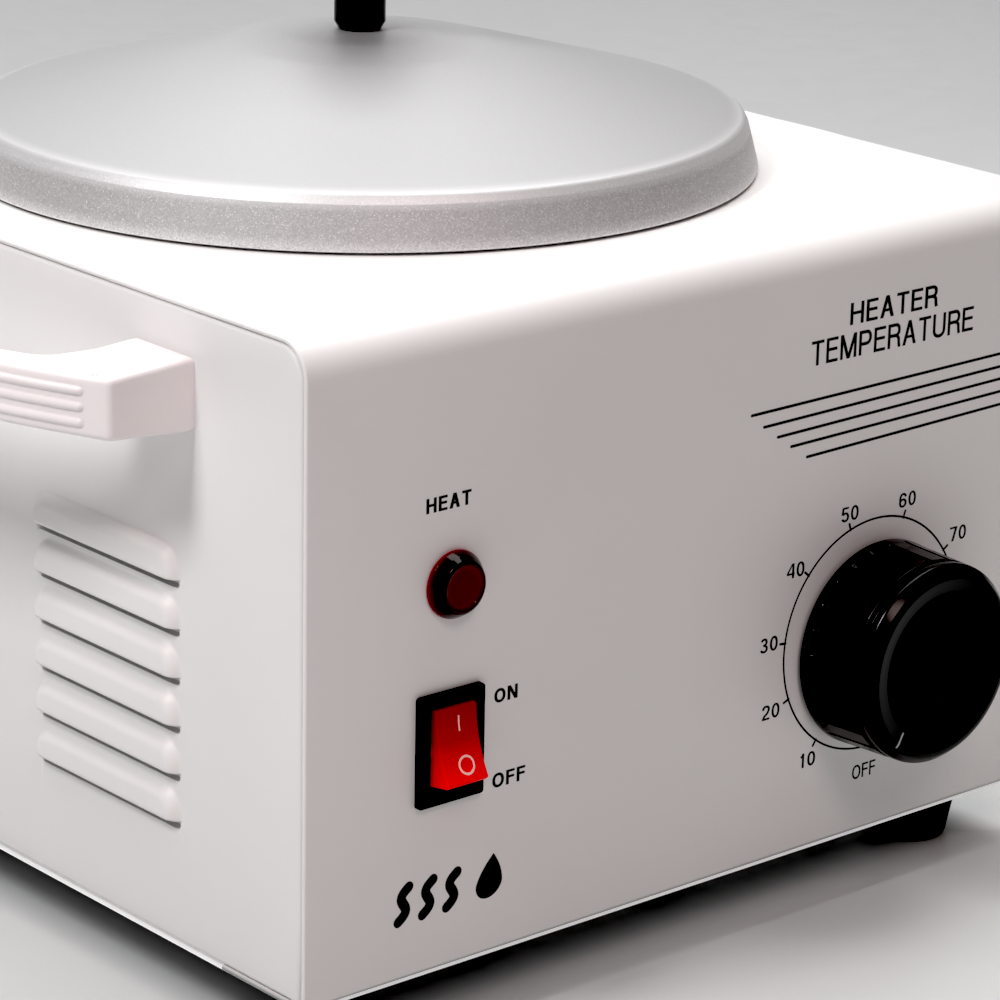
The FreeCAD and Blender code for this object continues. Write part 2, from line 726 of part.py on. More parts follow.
# clamp bolt along X through both ears, with its nut
clamp_bolt = pan_screw("clamp_bolt_master", 3.6, 2.4, 2.0, 18.0)
nut = new_body("clamp_nut_master", False)
face = new_sketch(nut, "nut_flats")
nut_radius = 3.9
hexagon = [math.radians(60 * k) for k in range(6)]
loop(face, [(nut_radius * math.cos(a), nut_radius * math.sin(a)) for a in hexagon])
circle(face, 0, 0, 2.05)
pad(nut, face, 3.0)
along_x = Rotation(Y_AXIS, 90)
compound_node("clamp_bolt", [
    copy_at(clamp_bolt, -ear_x - 0.95, clamp_bolt_y, clamp_bolt_z, along_x),
    copy_at(nut, ear_x + 0.95, clamp_bolt_y, clamp_bolt_z, along_x)])

open_ring("insulation_blanket", well_radius + 3.65, well_radius + 10.3, 60.0, 106.0, 26.0)

# spacer under the boss, and the bolt that comes up through it
turned("well_spacer", [(2.8, flange_z), (6.0, flange_z), (6.0, boss_z), (2.8, boss_z)])
well_bolt = pan_screw("well_bolt", 4.75, 3.0, 2.5, 40.0, node=True)
place(well_bolt, (0, 0, plate_z))

# ---------------------------------------------------------------------------
# Lid: shell with a soft cone, a bevel and a short skirt
# ---------------------------------------------------------------------------
rim = dims.lid_radius
skirt_radius = dims.lid_skirt_top_radius
skirt_z = deck_z + dims.lid_skirt_rise
apex_z = deck_z + dims.lid_apex_rise
under_apex = apex_z - dims.lid_wall

# radius, drop of the outer face from the apex, drop of the inner face from its apex
LID_CONE = [(62.0, 11.6, 11.75), (50.0, 8.4, 8.5), (38.0, 5.25, 5.35), (26.0, 2.25, 2.35),
            (15.0, 0.55, 0.6), (7.0, 0.05, 0.05), (2.3, 0.0, 0.0)]
outer_cone = [(radius, apex_z - drop) for radius, drop, _ in LID_CONE]
inner_cone = [(radius, under_apex - drop) for radius, _, drop in reversed(LID_CONE)]
turned("lid", [(rim - 0.35, deck_z), (rim, deck_z + 0.4), (skirt_radius, skirt_z),
               (skirt_radius - 1.0, skirt_z + 1.75)] + outer_cone + inner_cone
       + [(skirt_radius - 1.5, skirt_z + 0.45), (skirt_radius - 1.25, skirt_z - 0.3),
          (rim - 1.25, deck_z)])

# Lid knob with its screw and washer
head, neck = dims.lid_knob_radius, dims.lid_knob_neck
knob_z = apex_z + dims.lid_knob_rise
turned("lid_knob", [
    (0, apex_z + 12.0), (0, knob_z), (head * 0.45, knob_z - 0.5), (head * 0.78, knob_z - 2.2),
    (head * 0.97, knob_z - 5.2), (head, knob_z - 7.6), (head - 0.9, knob_z - 10.4),
    (head - 4.0, knob_z - 13.2), (neck + 2.2, knob_z - 15.6), (neck + 0.5, knob_z - 18.5),
    (neck, knob_z - 21.0), (neck, apex_z + 1.6), (neck - 0.7, apex_z + 0.1),
    (1.95, apex_z + 0.1), (1.95, apex_z + 12.0)])
washer_low, washer_high = under_apex - 0.9, under_apex - 0.1
knob_screw = pan_screw("lid_knob_screw", 4.0, 2.4, 1.9, 13.0, node=True)
place(knob_screw, (0, 0, washer_low))
turned("lid_knob_washer", [(2.05, washer_low), (6.2, washer_low),
                           (6.2, washer_high), (2.05, washer_high)])

# ---------------------------------------------------------------------------
# Thermostat, spindle and dial. Local frame: +Z out of the front panel.
# ---------------------------------------------------------------------------
dial_at = (dims.dial_x, front_y, dims.dial_z)
dial_turn = FRONT.multiply(Rotation(Z_AXIS, dims.dial_rest.value))

thermostat = new_body("thermostat_body")
face = new_sketch(thermostat, "case", "XY", -thick)
rectangle(face, 0, 0, 33.0, 30.0)
pad(thermostat, face, 20.0, reverse=True)
dress(thermostat, "Fillet", 2.5, lambda edge: along(edge, Z_AXIS))
face = new_sketch(thermostat, "bush", "XY", -thick)
circle(face, 0, 0, 4.9)
pad(thermostat, face, 2.6)
face = new_sketch(thermostat, "spindle_bore", "XY", 2.0)
circle(face, 0, 0, dims.spindle_radius + 0.06)
pocket(thermostat, face, 18.0)
face = new_sketch(thermostat, "panel_screw_holes", "XY", 0)
for sgn in (-1, 1):
    circle(face, sgn * thermostat_screw_x, 0, 1.5)
pocket(thermostat, face, 9.0)
place(thermostat, dial_at, FRONT)

thermostat_screw = pan_screw("thermostat_screw_master", 2.7, 1.7, 1.45, 7.5)
inwards = FRONT.multiply(Rotation(X_AXIS, 180))
compound_node("thermostat_screws", [
    copy_at(thermostat_screw, dims.dial_x + sgn * thermostat_screw_x, front_y,
            dims.dial_z, inwards)
    for sgn in (-1, 1)])

# spindle with a flat near its outer end
spindle = new_body("thermostat_spindle")
face = new_sketch(spindle, "spindle_round", "XY", -15.0)
circle(face, 0, 0, dims.spindle_radius)
pad(spindle, face, 30.0)
face = new_sketch(spindle, "spindle_flat", "XY", 16.0)
rectangle(face, 0, 3.1, 8.0, 1.6)
pocket(spindle, face, 11.0)
place(spindle, dial_at, dial_turn)

# dial: hollow skirt, groove round the cap, hub with a flat, grip flutes, pointer line
skirt, cap, proud, gap = dims.dial_radius, dims.dial_cap_radius, dims.dial_proud, dims.dial_gap
dial = new_body("dial_knob")
section = new_sketch(dial, "dial_section", "XZ")
loop(section, [
    (0, proud - 2.4), (0, proud - 0.5), (cap - 4.0, proud - 0.35),
    (cap - 2.2, proud, cap - 0.65, proud - 0.65), (cap, proud - 2.2), (cap, proud - 3.6),
    (cap - 0.7, proud - 3.8), (cap - 0.7, proud - 4.4), (cap + 0.2, proud - 4.8),
    (skirt, gap + 0.5), (skirt - 0.4, gap), (skirt - 2.6, gap), (skirt - 3.2, proud - 4.4),
    (5.5, proud - 2.4)])
revolve(dial, section)
face = new_sketch(dial, "hub_ring", "XY", 3.0)
circle(face, 0, 0, 6.0)
circle(face, 0, 0, 3.02)
pad(dial, face, proud - 2.6 - 3.0)
face = new_sketch(dial, "hub_flat", "XY", 5.2)
loop(face, [(-3.4, 2.36), (3.4, 2.36), (3.4, 4.6), (-3.4, 4.6)])
pad(dial, face, proud - 2.8 - 5.2)
face = new_sketch(dial, "flute", "XY", gap + 1.6)
loop(face, [(skirt - 0.75, -0.45), (skirt + 0.6, -0.62), (skirt + 0.6, 0.62),
            (skirt - 0.75, 0.45)])
flute = pocket(dial, face, proud - 4.8 - 2.3, reverse=True)
ring_of(dial, [flute], 26)
face = new_sketch(dial, "pointer_line", "XY", proud + 0.5)
loop(face, [(-0.4, -(cap - 1.6)), (0.4, -(cap - 1.6)), (0.4, -(cap - 5.6)),
            (-0.4, -(cap - 5.6))])
pocket(dial, face, 1.0)
place(dial, dial_at, dial_turn)

# ---------------------------------------------------------------------------
# Rocker switch. The trunnion axis lies in the plane of the panel.
# ---------------------------------------------------------------------------
switch_at = (dims.switch_x, front_y, dims.switch_z)
can_depth = 15.0
terminal_pitch = 6.0

switch = new_body("switch_housing")
face = new_sketch(switch, "bezel")
rectangle(face, 0, 0, dims.bezel_width, dims.bezel_tall)
pad(switch, face, dims.bezel_thick)
dress(switch, "Fillet", 1.2, lambda edge: along(edge, Z_AXIS))
dress(switch, "Fillet", 0.5, lambda edge: level_at(edge, dims.bezel_thick.value))
face = new_sketch(switch, "can")
rectangle(face, 0, 0, dims.bezel_width - 2.0, dims.bezel_tall - 2.0)
pad(switch, face, can_depth, reverse=True)
face = new_sketch(switch, "well", "XY", 3.0)
rectangle(face, 0, 0, dims.rocker_width + 0.5, 16.6)
pocket(switch, face, 15.5)
face = new_sketch(switch, "trunnion_bore", "YZ")
circle(face, 0, 0, dims.trunnion_radius + 0.05)
pocket(switch, face, dims.rocker_width + 2.5, symmetric=True)
place(switch, switch_at, FRONT)

# side view of the rocker in its middle position: outward, up
ROCKER_SIDE = [
    (4.1, 6.9), (3.45, 3.4), (3.25, 0.0), (3.45, -3.4), (4.1, -6.9), (3.3, -7.25),
    (-1.5, -6.6), (-5.0, -3.2), (-6.4, 0.0), (-5.0, 3.2), (-1.5, 6.6), (3.3, 7.25)]
tilt = math.radians(dims.rocker_tilt.value)


def tilted(outward, up):
    """Sketch point turned to the ON state: the top end is in."""
    return (up * math.cos(tilt) + outward * math.sin(tilt),
            outward * math.cos(tilt) - up * math.sin(tilt))


rocker = new_body("switch_rocker")
face = new_sketch(rocker, "rocker_side", "YZ")
loop(face, [tilted(outward, up) for outward, up in ROCKER_SIDE])
pad(rocker, face, dims.rocker_width, symmetric=True)
dress(rocker, "Chamfer", 0.25, lambda edge: (
    edge.BoundBox.XLength < 0.01
    and abs(abs(edge.BoundBox.XMax) - dims.rocker_width.value / 2) < 0.01))
face = new_sketch(rocker, "trunnions", "YZ")
circle(face, 0, 0, dims.trunnion_radius)
pad(rocker, face, dims.rocker_width + 2.2, symmetric=True)
place(rocker, switch_at, FRONT)

blade = new_body("blade_master", False)
face = new_sketch(blade, "blade_outline", "XZ")
loop(face, [(-2.4, -9.0), (-1.4, -10.0), (1.4, -10.0), (2.4, -9.0), (2.4, 0.0), (-2.4, 0.0)])
circle(face, 0, -5.5, 0.8)
pad(blade, face, 0.8, symmetric=True)
compound_node("switch_terminals", [
    copy_at(blade, dims.switch_x, front_y + can_depth,
            dims.switch_z + k * terminal_pitch, FRONT)
    for k in (-1, 0, 1)])

# ---------------------------------------------------------------------------
# Indicator: domed lens, barrel, push-on retainer, neon bulb
# ---------------------------------------------------------------------------
lamp_at = (dims.lamp_x, front_y, dims.lamp_z)
lens = dims.lens_radius
turned("indicator_lens", [
    (3.75, 0.0), (lens - 0.3, 0.0), (lens, 0.3), (lens, 0.7), (lens - 0.5, 1.2),
    (lens - 1.1, 1.35), (lens - 1.25, 2.5), (lens - 1.6, 3.1, lens - 2.1, 3.35),
    (lens - 2.8, 3.4), (lens - 3.3, 3.05), (0, 2.95), (0, 1.6), (2.9, 1.5), (2.9, -4.0),
    (3.75, -4.0)], lamp_at, FRONT)
turned("indicator_barrel", [
    (3.85, -0.1), (4.9, -0.1), (4.9, -22.0), (0, -22.0), (0, -20.5), (3.85, -20.5)],
    lamp_at, FRONT)
turned("indicator_retainer", [
    (5.0, -thick), (8.4, -thick), (8.4, -thick - 0.6), (5.0, -thick - 1.4)], lamp_at, FRONT)
turned("neon_bulb", [
    (0, -3.0), (1.2, -3.4), (2.1, -4.6), (2.1, -16.0), (1.2, -17.0), (0, -17.0)],
    lamp_at, FRONT)


# ---------------------------------------------------------------------------
# Sweeps
# ---------------------------------------------------------------------------
def sweep_round(path, start, direction, radius):
    ring = Part.Wire(Part.Circle(start, direction, radius).toShape())
    return path.makePipeShell([ring], True, True)


def smooth_tube(stations, radius):
    """Round tube along a spline through the stations."""
    curve = Part.BSplineCurve()
    curve.interpolate([point(*station) for station in stations])
    edge = curve.toShape()
    solid = sweep_round(Part.Wire(edge), edge.firstVertex().Point,
                        edge.tangentAt(edge.FirstParameter), radius)
    if solid.Volume < 0:
        solid.reverse()
    return solid


def wire_run(stations, radius):
    """Round wire along straight runs. The ends are (x, y, z); each corner between
    them is (x, y, z, bend radius)."""
    corners = [point(*station[:3]) for station in stations]
    edges = []
    last = corners[0]
    for i in range(1, len(corners) - 1):
        corner = corners[i]
        back = (corners[i - 1] - corner).normalize()
        ahead = (corners[i + 1] - corner).normalize()
        half_angle = back.getAngle(ahead) / 2
        bend = stations[i][3]
        run = bend / math.tan(half_angle)
        bisector = (back + ahead).normalize()
        centre = corner + bisector * (bend / math.sin(half_angle))
        arc_start, arc_end = corner + back * run, corner + ahead * run
        edges.append(Part.LineSegment(last, arc_start).toShape())
        edges.append(Part.Arc(arc_start, centre - bisector * bend, arc_end).toShape())
        last = arc_end
    edges.append(Part.LineSegment(last, corners[-1]).toShape())
    return sweep_round(Part.Wire(edges), corners[0], corners[1] - corners[0], radius)


# ---------------------------------------------------------------------------
# Sensor bulb with its capillary, thermal fuse, and their clips under the well
# ---------------------------------------------------------------------------
def saddle_clip(name, plane, inner, strip, rise, tab, width, position):
    """Bent strip round a rod under the well: two tabs and a half-round saddle."""
    clip = new_body(name)
    face = new_sketch(clip, name + "_strip", plane)
    outer = inner + strip
    diagonal = math.sqrt(0.5)
    outer_mid, inner_mid = outer * diagonal, inner * diagonal
    loop(face, [
        (-tab, rise - strip), (-outer, rise - strip), (-outer, 0, -outer_mid, -outer_mid),
        (0, -outer, outer_mid, -outer_mid), (outer, 0), (outer, rise - strip),
        (tab, rise - strip), (tab, rise), (inner, rise), (inner, 0, inner_mid, -inner_mid),
        (0, -inner, -inner_mid, -inner_mid), (-inner, 0), (-inner, rise), (-tab, rise)])
    pad(clip, face, width, symmetric=True)
    place(clip, position)


case_back_y = -82.4                 # just behind the thermostat case

bulb_radius, bulb_x = 3.0, 27
bulb_z = well_z - bulb_radius - 0.05
bulb = Part.makeCylinder(bulb_radius, 58.0, point(bulb_x, -30, bulb_z), Y_AXIS)
capillary = smooth_tube([
    (bulb_x, -29.0, bulb_z), (28, -38, bulb_z), (33, -50, bulb_z), (39, -62, 53.0),
    (42, -73, 56.5), (43, case_back_y, 61.5)], 0.9)
shape_node("sensor_bulb", bulb.fuse(capillary).removeSplitter())
saddle_clip("sensor_clip", "XZ", inner=bulb_radius + 0.05, strip=0.9, rise=2.95, tab=11.5,
            width=12.0, position=(bulb_x, 0, bulb_z))

fuse_y, fuse_z = 10, well_z - 2.5
fuse_case = Part.makeCylinder(2.4, 12.0, point(-36, fuse_y, fuse_z), X_AXIS)
fuse_leads = Part.makeCylinder(1.0, 20.0, point(-40, fuse_y, fuse_z), X_AXIS)
shape_node("thermal_fuse", fuse_case.fuse(fuse_leads).removeSplitter())
saddle_clip("fuse_clip", "YZ", inner=2.45, strip=0.8, rise=2.4, tab=8.0,
            width=5.0, position=(-30, fuse_y, fuse_z))

# ---------------------------------------------------------------------------
# Terminal block: three poles, with two screws each
# ---------------------------------------------------------------------------
block_x, block_y = -20.0, 66.0
pole_pitch, pole_rise = 11.0, 6.0
POLES = (-pole_pitch, 0.0, pole_pitch)

block = new_body("terminal_block")
face = new_sketch(block, "block")
rectangle(face, 0, 0, 33.0, 16.0)
pad(block, face, 14.0)
face = new_sketch(block, "block_steps", "XZ")
loop(face, [(-5.9, 10.0), (-5.1, 10.0), (-5.1, 15.0), (-5.9, 15.0)])
loop(face, [(5.1, 10.0), (5.9, 10.0), (5.9, 15.0), (5.1, 15.0)])
pocket(block, face, 40.0, symmetric=True)
face = new_sketch(block, "block_holes", "XZ", 9)
for x in POLES:
    circle(face, x, pole_rise, 2.9)
pocket(block, face, 20.0)
face = new_sketch(block, "block_screws", "XY", 15)
for x in POLES:
    for y in (-4.5, 4.5):
        circle(face, x, y, 1.7)
pocket(block, face, 6.0)
place(block, (block_x, block_y, flange_z))

# ---------------------------------------------------------------------------
# Internal wires
# ---------------------------------------------------------------------------
wire_radius = dims.wire_radius.value
pole_y, pole_z = block_y - 5.0, flange_z + pole_rise     # where wires leave the block
live_x, earth_pole_x = block_x - pole_pitch, block_x + pole_pitch
switch_x, switch_z = dims.switch_x, dims.switch_z
low_blade, high_blade = switch_z - terminal_pitch, switch_z + terminal_pitch
blade_y = front_y + can_depth + 10.2                     # just behind the blade tips


def wires(name, runs):
    compound_node(name, [wire_run(run, wire_radius) for run in runs])


wires("live_wires", [
    [(live_x, pole_y, pole_z), (live_x, 46, pole_z, 8), (-58, 0, 21, 10),
     (switch_x, -50, 24, 8), (switch_x, -62, low_blade, 6), (switch_x, blade_y, low_blade)],
    [(switch_x, blade_y, switch_z), (switch_x, -70, switch_z, 4), (-50, -66, 46, 6),
     (-20, -62, 34, 8), (20, -62, 34, 8), (36, -68, 50, 6), (36, case_back_y, 50)],
    [(50, case_back_y, 50), (50, -72, 50, 5), (44, -52, 32, 8), (0, -30, 28, 10),
     (-34, -8, 32, 8), (-52, fuse_y, fuse_z, 3.5), (-41, fuse_y, fuse_z)],
])
wires("neutral_wires", [
    [(block_x - 1.4, pole_y, pole_z), (block_x - 1.4, 50, pole_z, 6), (-40, 30, 36, 8),
     (-80, -10, 50, 10), (-80, -58, high_blade, 8), (switch_x, -66, high_blade, 4),
     (switch_x, blade_y, high_blade)],
    [(block_x + 1.4, pole_y, pole_z), (block_x + 1.4, 53.5, pole_z, 3),
     (block_x + 1.4, 51, 44, 8), (-11, 77.5, 56, 6), (-10, 78.5, 70, 3.5),
     (-9.6, 73.4, 71.5)],
])
shape_node("earth_wire", wire_run([
    (earth_pole_x, pole_y, pole_z), (earth_pole_x, 52, pole_z, 4), (-20, 38, 15.6, 6),
    (-50, 30, 15.6, 6), (-58, 38, 16.6, 4), (-64.0, 39.5, 16.6)], wire_radius))

# earth screw with its nut, and the ring tag between nut and plate
earth_screw = pan_screw("earth_screw_master", 3.9, 2.6, 2.0, 12.0)
compound_node("earth_screw", [
    copy_at(earth_screw, earth_x, earth_y, plate_z),
    copy_at(nut, earth_x, earth_y, flange_z + 2.2)])
tag_z = flange_z + 0.6
tag_ring = Part.makeCylinder(4.4, 1.0, point(earth_x, earth_y, tag_z))
tag_tongue = Part.makeBox(8.0, 3.4, 1.0, point(earth_x + 3.5, earth_y - 1.7, tag_z))
tag_hole = Part.makeCylinder(2.1, 3.0, point(earth_x, earth_y, flange_z - 0.5))
shape_node("earth_tag", tag_ring.fuse(tag_tongue).cut(tag_hole).removeSplitter())

# ---------------------------------------------------------------------------
# Strain relief and cord at the back
# ---------------------------------------------------------------------------
cord, cord_x, cord_z = dims.cord_radius, dims.cord_x, dims.cord_z
turned("strain_relief", [
    (cord + 0.05, -9.0), (7.4, -9.0), (7.4, 0.0), (9.2, 0.0), (9.2, 1.8), (8.2, 2.8),
    (5.4, 2.9), (4.9, 3.7), (cord + 0.05, 3.8)], (cord_x, half_depth, cord_z), REAR)

# the cord hangs as far behind the housing as the dial stands in front
hang_y = half_depth + dims.dial_proud - cord
table_z = cord + 0.1                # cord centre where it lies on the table
inside_y = 82.0                     # cord run inside the housing
plug_y, plug_z = half_depth + 9.6, 12.1
shape_node("power_cord", wire_run([
    (-6.0, inside_y, 24.0), (26.0, inside_y, cord_z, 14.0), (cord_x, inside_y, cord_z, 12.0),
    (cord_x, hang_y, cord_z, 11.6), (cord_x, hang_y, table_z, 14.0),
    (-10.0, hang_y, table_z, 30.0), (-38.0, plug_y, plug_z, 24.0), (-52.0, plug_y, plug_z)],
    cord.value))

# ---------------------------------------------------------------------------
# Mains plug. Local frame: x to the back, y down, z towards the blade tips (-X).
# ---------------------------------------------------------------------------
blade_width, blade_thick, blade_length = 6.3, 1.5, 24.0
blade_x, blade_offset = 1.5, 6.35   # blade centres
pin_x, pin_radius = -5.5, 2.4
pin_root = 18.0                     # where the blades and the pin start

plug = new_body("mains_plug")
section = new_sketch(plug, "plug_boot", "XZ")
loop(section, [(0, -14.0), (4.6, -14.0), (5.4, -8.0), (5.6, 0.2), (0, 0.2)])
revolve(plug, section)
face = new_sketch(plug, "plug_shell")
rectangle(face, 0, 0, 18.4, 24.0)
pad(plug, face, 26.0)
dress(plug, "Fillet", 5.0, lambda edge: along(edge, Z_AXIS) and edge.Length > 20)


def shell_back_edge(edge):
    box = edge.BoundBox
    return (box.ZMax < 0.01 and box.ZMin > -0.01 and box.DiagonalLength > 1
            and max(abs(box.XMax), abs(box.XMin)) > 6.5)


dress(plug, "Fillet", 3.0, shell_back_edge)
face = new_sketch(plug, "plug_socket", "XY", -15.0)
circle(face, 0, 0, cord + 0.05)
pocket(plug, face, 11.0, reverse=True)
face = new_sketch(plug, "blade_slots", "XY", 27.0)
for sgn in (-1, 1):
    rectangle(face, blade_x, sgn * blade_offset, blade_width, blade_thick)
circle(face, pin_x, 0, pin_radius)
pocket(plug, face, 9.0)
place(plug, (-61.0, plug_y, plug_z), frame((0, 1, 0), (0, 0, -1), (-1, 0, 0)))

# two flat blades and a round pin with a domed end
prongs = [
    Part.makeBox(blade_width, blade_thick, blade_length,
                 Vector(blade_x - blade_width / 2, sgn * blade_offset - blade_thick / 2, pin_root))
    for sgn in (-1, 1)]
earth_pin = Part.makeCylinder(pin_radius, blade_length, Vector(pin_x, 0, pin_root))
dome = Part.makeSphere(pin_radius, Vector(pin_x, 0, pin_root + blade_length))
prongs.append(earth_pin.fuse(dome).removeSplitter())
plug_blades = Part.makeCompound(prongs)
plug_blades.Placement = plug.Placement
shape_node("plug_blades", plug_blades)

# ---------------------------------------------------------------------------
# Check every object, then write one STEP file a node
# ---------------------------------------------------------------------------
doc.recompute()
faults = []
for obj in doc.Objects:
    if any(state in ("Invalid", "Error") for state in obj.State):
        faults.append("%s: %s" % (obj.Name, obj.State))
for node in nodes:
    if node.Shape.isNull() or not node.Shape.isValid() or not node.Shape.Solids:
        faults.append("%s: shape null, not valid or without a solid" % node.Label)
    if any(solid.Volume <= 0 for solid in node.Shape.Solids):
        faults.append("%s: a solid with no volume" % node.Label)
if len(set(node.Label for node in nodes)) != len(nodes):
    faults.append("labels repeat")
if faults:
    raise RuntimeError("; ".join(faults))
os.makedirs("parts", exist_ok=True)
for node in nodes:
    node.Shape.exportStep(os.path.join("parts", node.Label + ".step"))
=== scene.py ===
# A white bench heater: a folded sheet housing with louvred side panels, a silver lid over a round
# well, a handle on each side, and a dial, a rocker switch and a lamp on the printed front panel.
# +Z is up and the feet stand on z = 0. The front panel faces -Y and the handles are at -X and +X.
# Meshes are worked out in millimetres and stored in metres.
import bpy
import json
import math
import numpy as np
from mathutils import Matrix, Vector
from mathutils.geometry import delaunay_2d_cdt


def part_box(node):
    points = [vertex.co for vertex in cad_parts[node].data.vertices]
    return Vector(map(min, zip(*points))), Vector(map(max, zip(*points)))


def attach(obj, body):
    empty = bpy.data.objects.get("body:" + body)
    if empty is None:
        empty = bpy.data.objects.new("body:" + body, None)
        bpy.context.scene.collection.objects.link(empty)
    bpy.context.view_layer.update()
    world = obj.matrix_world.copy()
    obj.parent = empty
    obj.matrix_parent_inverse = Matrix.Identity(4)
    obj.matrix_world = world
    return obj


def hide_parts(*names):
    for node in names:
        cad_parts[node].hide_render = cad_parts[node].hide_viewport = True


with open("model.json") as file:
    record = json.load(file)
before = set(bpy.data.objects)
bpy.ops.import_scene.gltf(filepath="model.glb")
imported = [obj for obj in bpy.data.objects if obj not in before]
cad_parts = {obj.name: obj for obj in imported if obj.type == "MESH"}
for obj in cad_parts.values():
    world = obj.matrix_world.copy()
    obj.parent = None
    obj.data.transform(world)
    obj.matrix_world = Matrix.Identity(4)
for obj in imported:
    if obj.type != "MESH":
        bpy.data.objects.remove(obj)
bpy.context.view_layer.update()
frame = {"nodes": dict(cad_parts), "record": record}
SCENE = bpy.context.scene


# ---------------------------------------------------------------- driving sizes, mm
def box_mm(node):
    low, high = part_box(node)
    return [v * 1000 for v in low], [v * 1000 for v in high]


_, wrap_high = box_mm("housing_wrap")
HALF_WIDTH, HALF_DEPTH, DECK = wrap_high
BASE = box_mm("housing_wrap")[0][2]                 # underside of the housing


def front_piece(node):
    """Centre x and z, width, height, and how far a piece stands out of the front panel."""
    low, high = box_mm(node)
    return ((low[0] + high[0]) / 2, (low[2] + high[2]) / 2, high[0] - low[0], high[2] - low[2],
            -HALF_DEPTH - low[1])


DIAL_X, DIAL_Z, dial_width, _, DIAL_OUT = front_piece("dial_knob")
DIAL_R = dial_width / 2
SWITCH_X, SWITCH_Z, SWITCH_WIDTH, SWITCH_HEIGHT, SWITCH_OUT = front_piece("switch_housing")
LAMP_X, LAMP_Z, lamp_width, _, LAMP_OUT = front_piece("indicator_lens")
LAMP_R = lamp_width / 2
FEET_HIGH = box_mm("rubber_feet")[1]
FOOT_R = 9.6                                        # at the top of a foot
FOOT_X, FOOT_Y = FEET_HIGH[0] - FOOT_R, FEET_HIGH[1] - FOOT_R
SHEET = 1.0                                         # thickness of the housing sheet


# ---------------------------------------------------------------- material tools
INPUTS = {"color": "Base Color", "rough": "Roughness", "metal": "Metallic", "normal": "Normal",
          "coat": "Coat Weight", "spec": "Specular IOR Level", "sss": "Subsurface Weight",
          "sss_scale": "Subsurface Scale", "emit": "Emission Color",
          "emit_strength": "Emission Strength", "sheen": "Sheen Weight"}


class Material:
    """Short calls for building a node tree round one Principled shader."""

    def __init__(self, name):
        self.data = bpy.data.materials.new(name)
        self.data.use_nodes = True
        self.tree = self.data.node_tree
        self.tree.nodes.clear()
        output = self.node("ShaderNodeOutputMaterial")
        self.shader = self.node("ShaderNodeBsdfPrincipled")
        self.feed(output.inputs[0], self.shader.outputs[0])
        self.place = self.node("ShaderNodeTexCoord").outputs["Object"]

    def node(self, kind, **settings):
        node = self.tree.nodes.new(kind)
        for key, value in settings.items():
            setattr(node, key, value)
        return node

    def feed(self, socket, value):
        """Links a socket into an input, or sets the input to a number or a colour."""
        if isinstance(value, bpy.types.NodeSocket):
            self.tree.links.new(value, socket)
        elif isinstance(value, tuple) and socket.type == "RGBA":
            socket.default_value = (*value, 1)
        else:
            socket.default_value = value

    def noise(self, scale, detail=3.0, rough=0.5, stretch=None, distortion=0.0):
        node = self.node("ShaderNodeTexNoise")
        self.feed(node.inputs["Scale"], scale)
        self.feed(node.inputs["Detail"], detail)
        self.feed(node.inputs["Roughness"], rough)
        self.feed(node.inputs["Distortion"], distortion)
        source = self.place
        if stretch:
            mapping = self.node("ShaderNodeMapping")
            mapping.inputs["Scale"].default_value = stretch
            self.feed(mapping.inputs["Vector"], source)
            source = mapping.outputs[0]
        self.feed(node.inputs["Vector"], source)
        return node.outputs["Fac"]

    def cells(self, scale):
        """Colour output of a Voronoi texture."""
        node = self.node("ShaderNodeTexVoronoi")
        self.feed(node.inputs["Scale"], scale)
        self.feed(node.inputs["Vector"], self.place)
        return node.outputs["Color"]

    def channels(self, color):
        node = self.node("ShaderNodeSeparateColor")
        self.feed(node.inputs[0], color)
        return node.outputs

    def xyz(self):
        node = self.node("ShaderNodeSeparateXYZ")
        self.feed(node.inputs[0], self.place)
        return node.outputs

    def ramp(self, factor, stops):
        """Stops are (position, colour)."""
        node = self.node("ShaderNodeValToRGB")
        elements = node.color_ramp.elements
        while len(elements) > 1:
            elements.remove(elements[-1])
        elements[0].position = stops[0][0]
        elements[0].color = (*stops[0][1], 1)
        for position, color in stops[1:]:
            elements.new(position).color = (*color, 1)
        self.feed(node.inputs[0], factor)
        return node.outputs[0]

    def remap(self, value, to, over=(0.0, 1.0), smooth=False):
        """Maps the range `over` on to the range `to`."""
        node = self.node("ShaderNodeMapRange")
        if smooth:
            node.interpolation_type = "SMOOTHSTEP"
        for key, number in zip(("From Min", "From Max", "To Min", "To Max"), (*over, *to)):
            node.inputs[key].default_value = number
        self.feed(node.inputs["Value"], value)
        return node.outputs[0]

    def remap_mm(self, value, over, to, smooth=False):
        """The same for a coordinate, with `over` in millimetres."""
        return self.remap(value, to, (over[0] / 1000, over[1] / 1000), smooth)

    def math(self, operation, first, second=None):
        node = self.node("ShaderNodeMath", operation=operation)
        self.feed(node.inputs[0], first)
        if second is not None:
            self.feed(node.inputs[1], second)
        return node.outputs[0]

    def add(self, first, second):
        return self.math("ADD", first, second)

    def times(self, first, second):
        return self.math("MULTIPLY", first, second)

    def radius(self, first, second):
        return self.math("SQRT", self.add(self.times(first, first), self.times(second, second)))

    def mix(self, factor, first, second):
        node = self.node("ShaderNodeMix", data_type="RGBA")
        for socket, value in ((0, factor), (6, first), (7, second)):
            self.feed(node.inputs[socket], value)
        return node.outputs[2]

    def bump(self, height, strength, distance, under=None):
        node = self.node("ShaderNodeBump")
        self.feed(node.inputs["Strength"], strength)
        self.feed(node.inputs["Distance"], distance)
        self.feed(node.inputs["Height"], height)
        if under is not None:
            self.feed(node.inputs["Normal"], under)
        return node.outputs[0]

    def set(self, **values):
        for key, value in values.items():
            self.feed(self.shader.inputs[INPUTS[key]], value)
        return self.data


def tint(color, gain):
    return tuple(min(1.0, v * gain) for v in color)


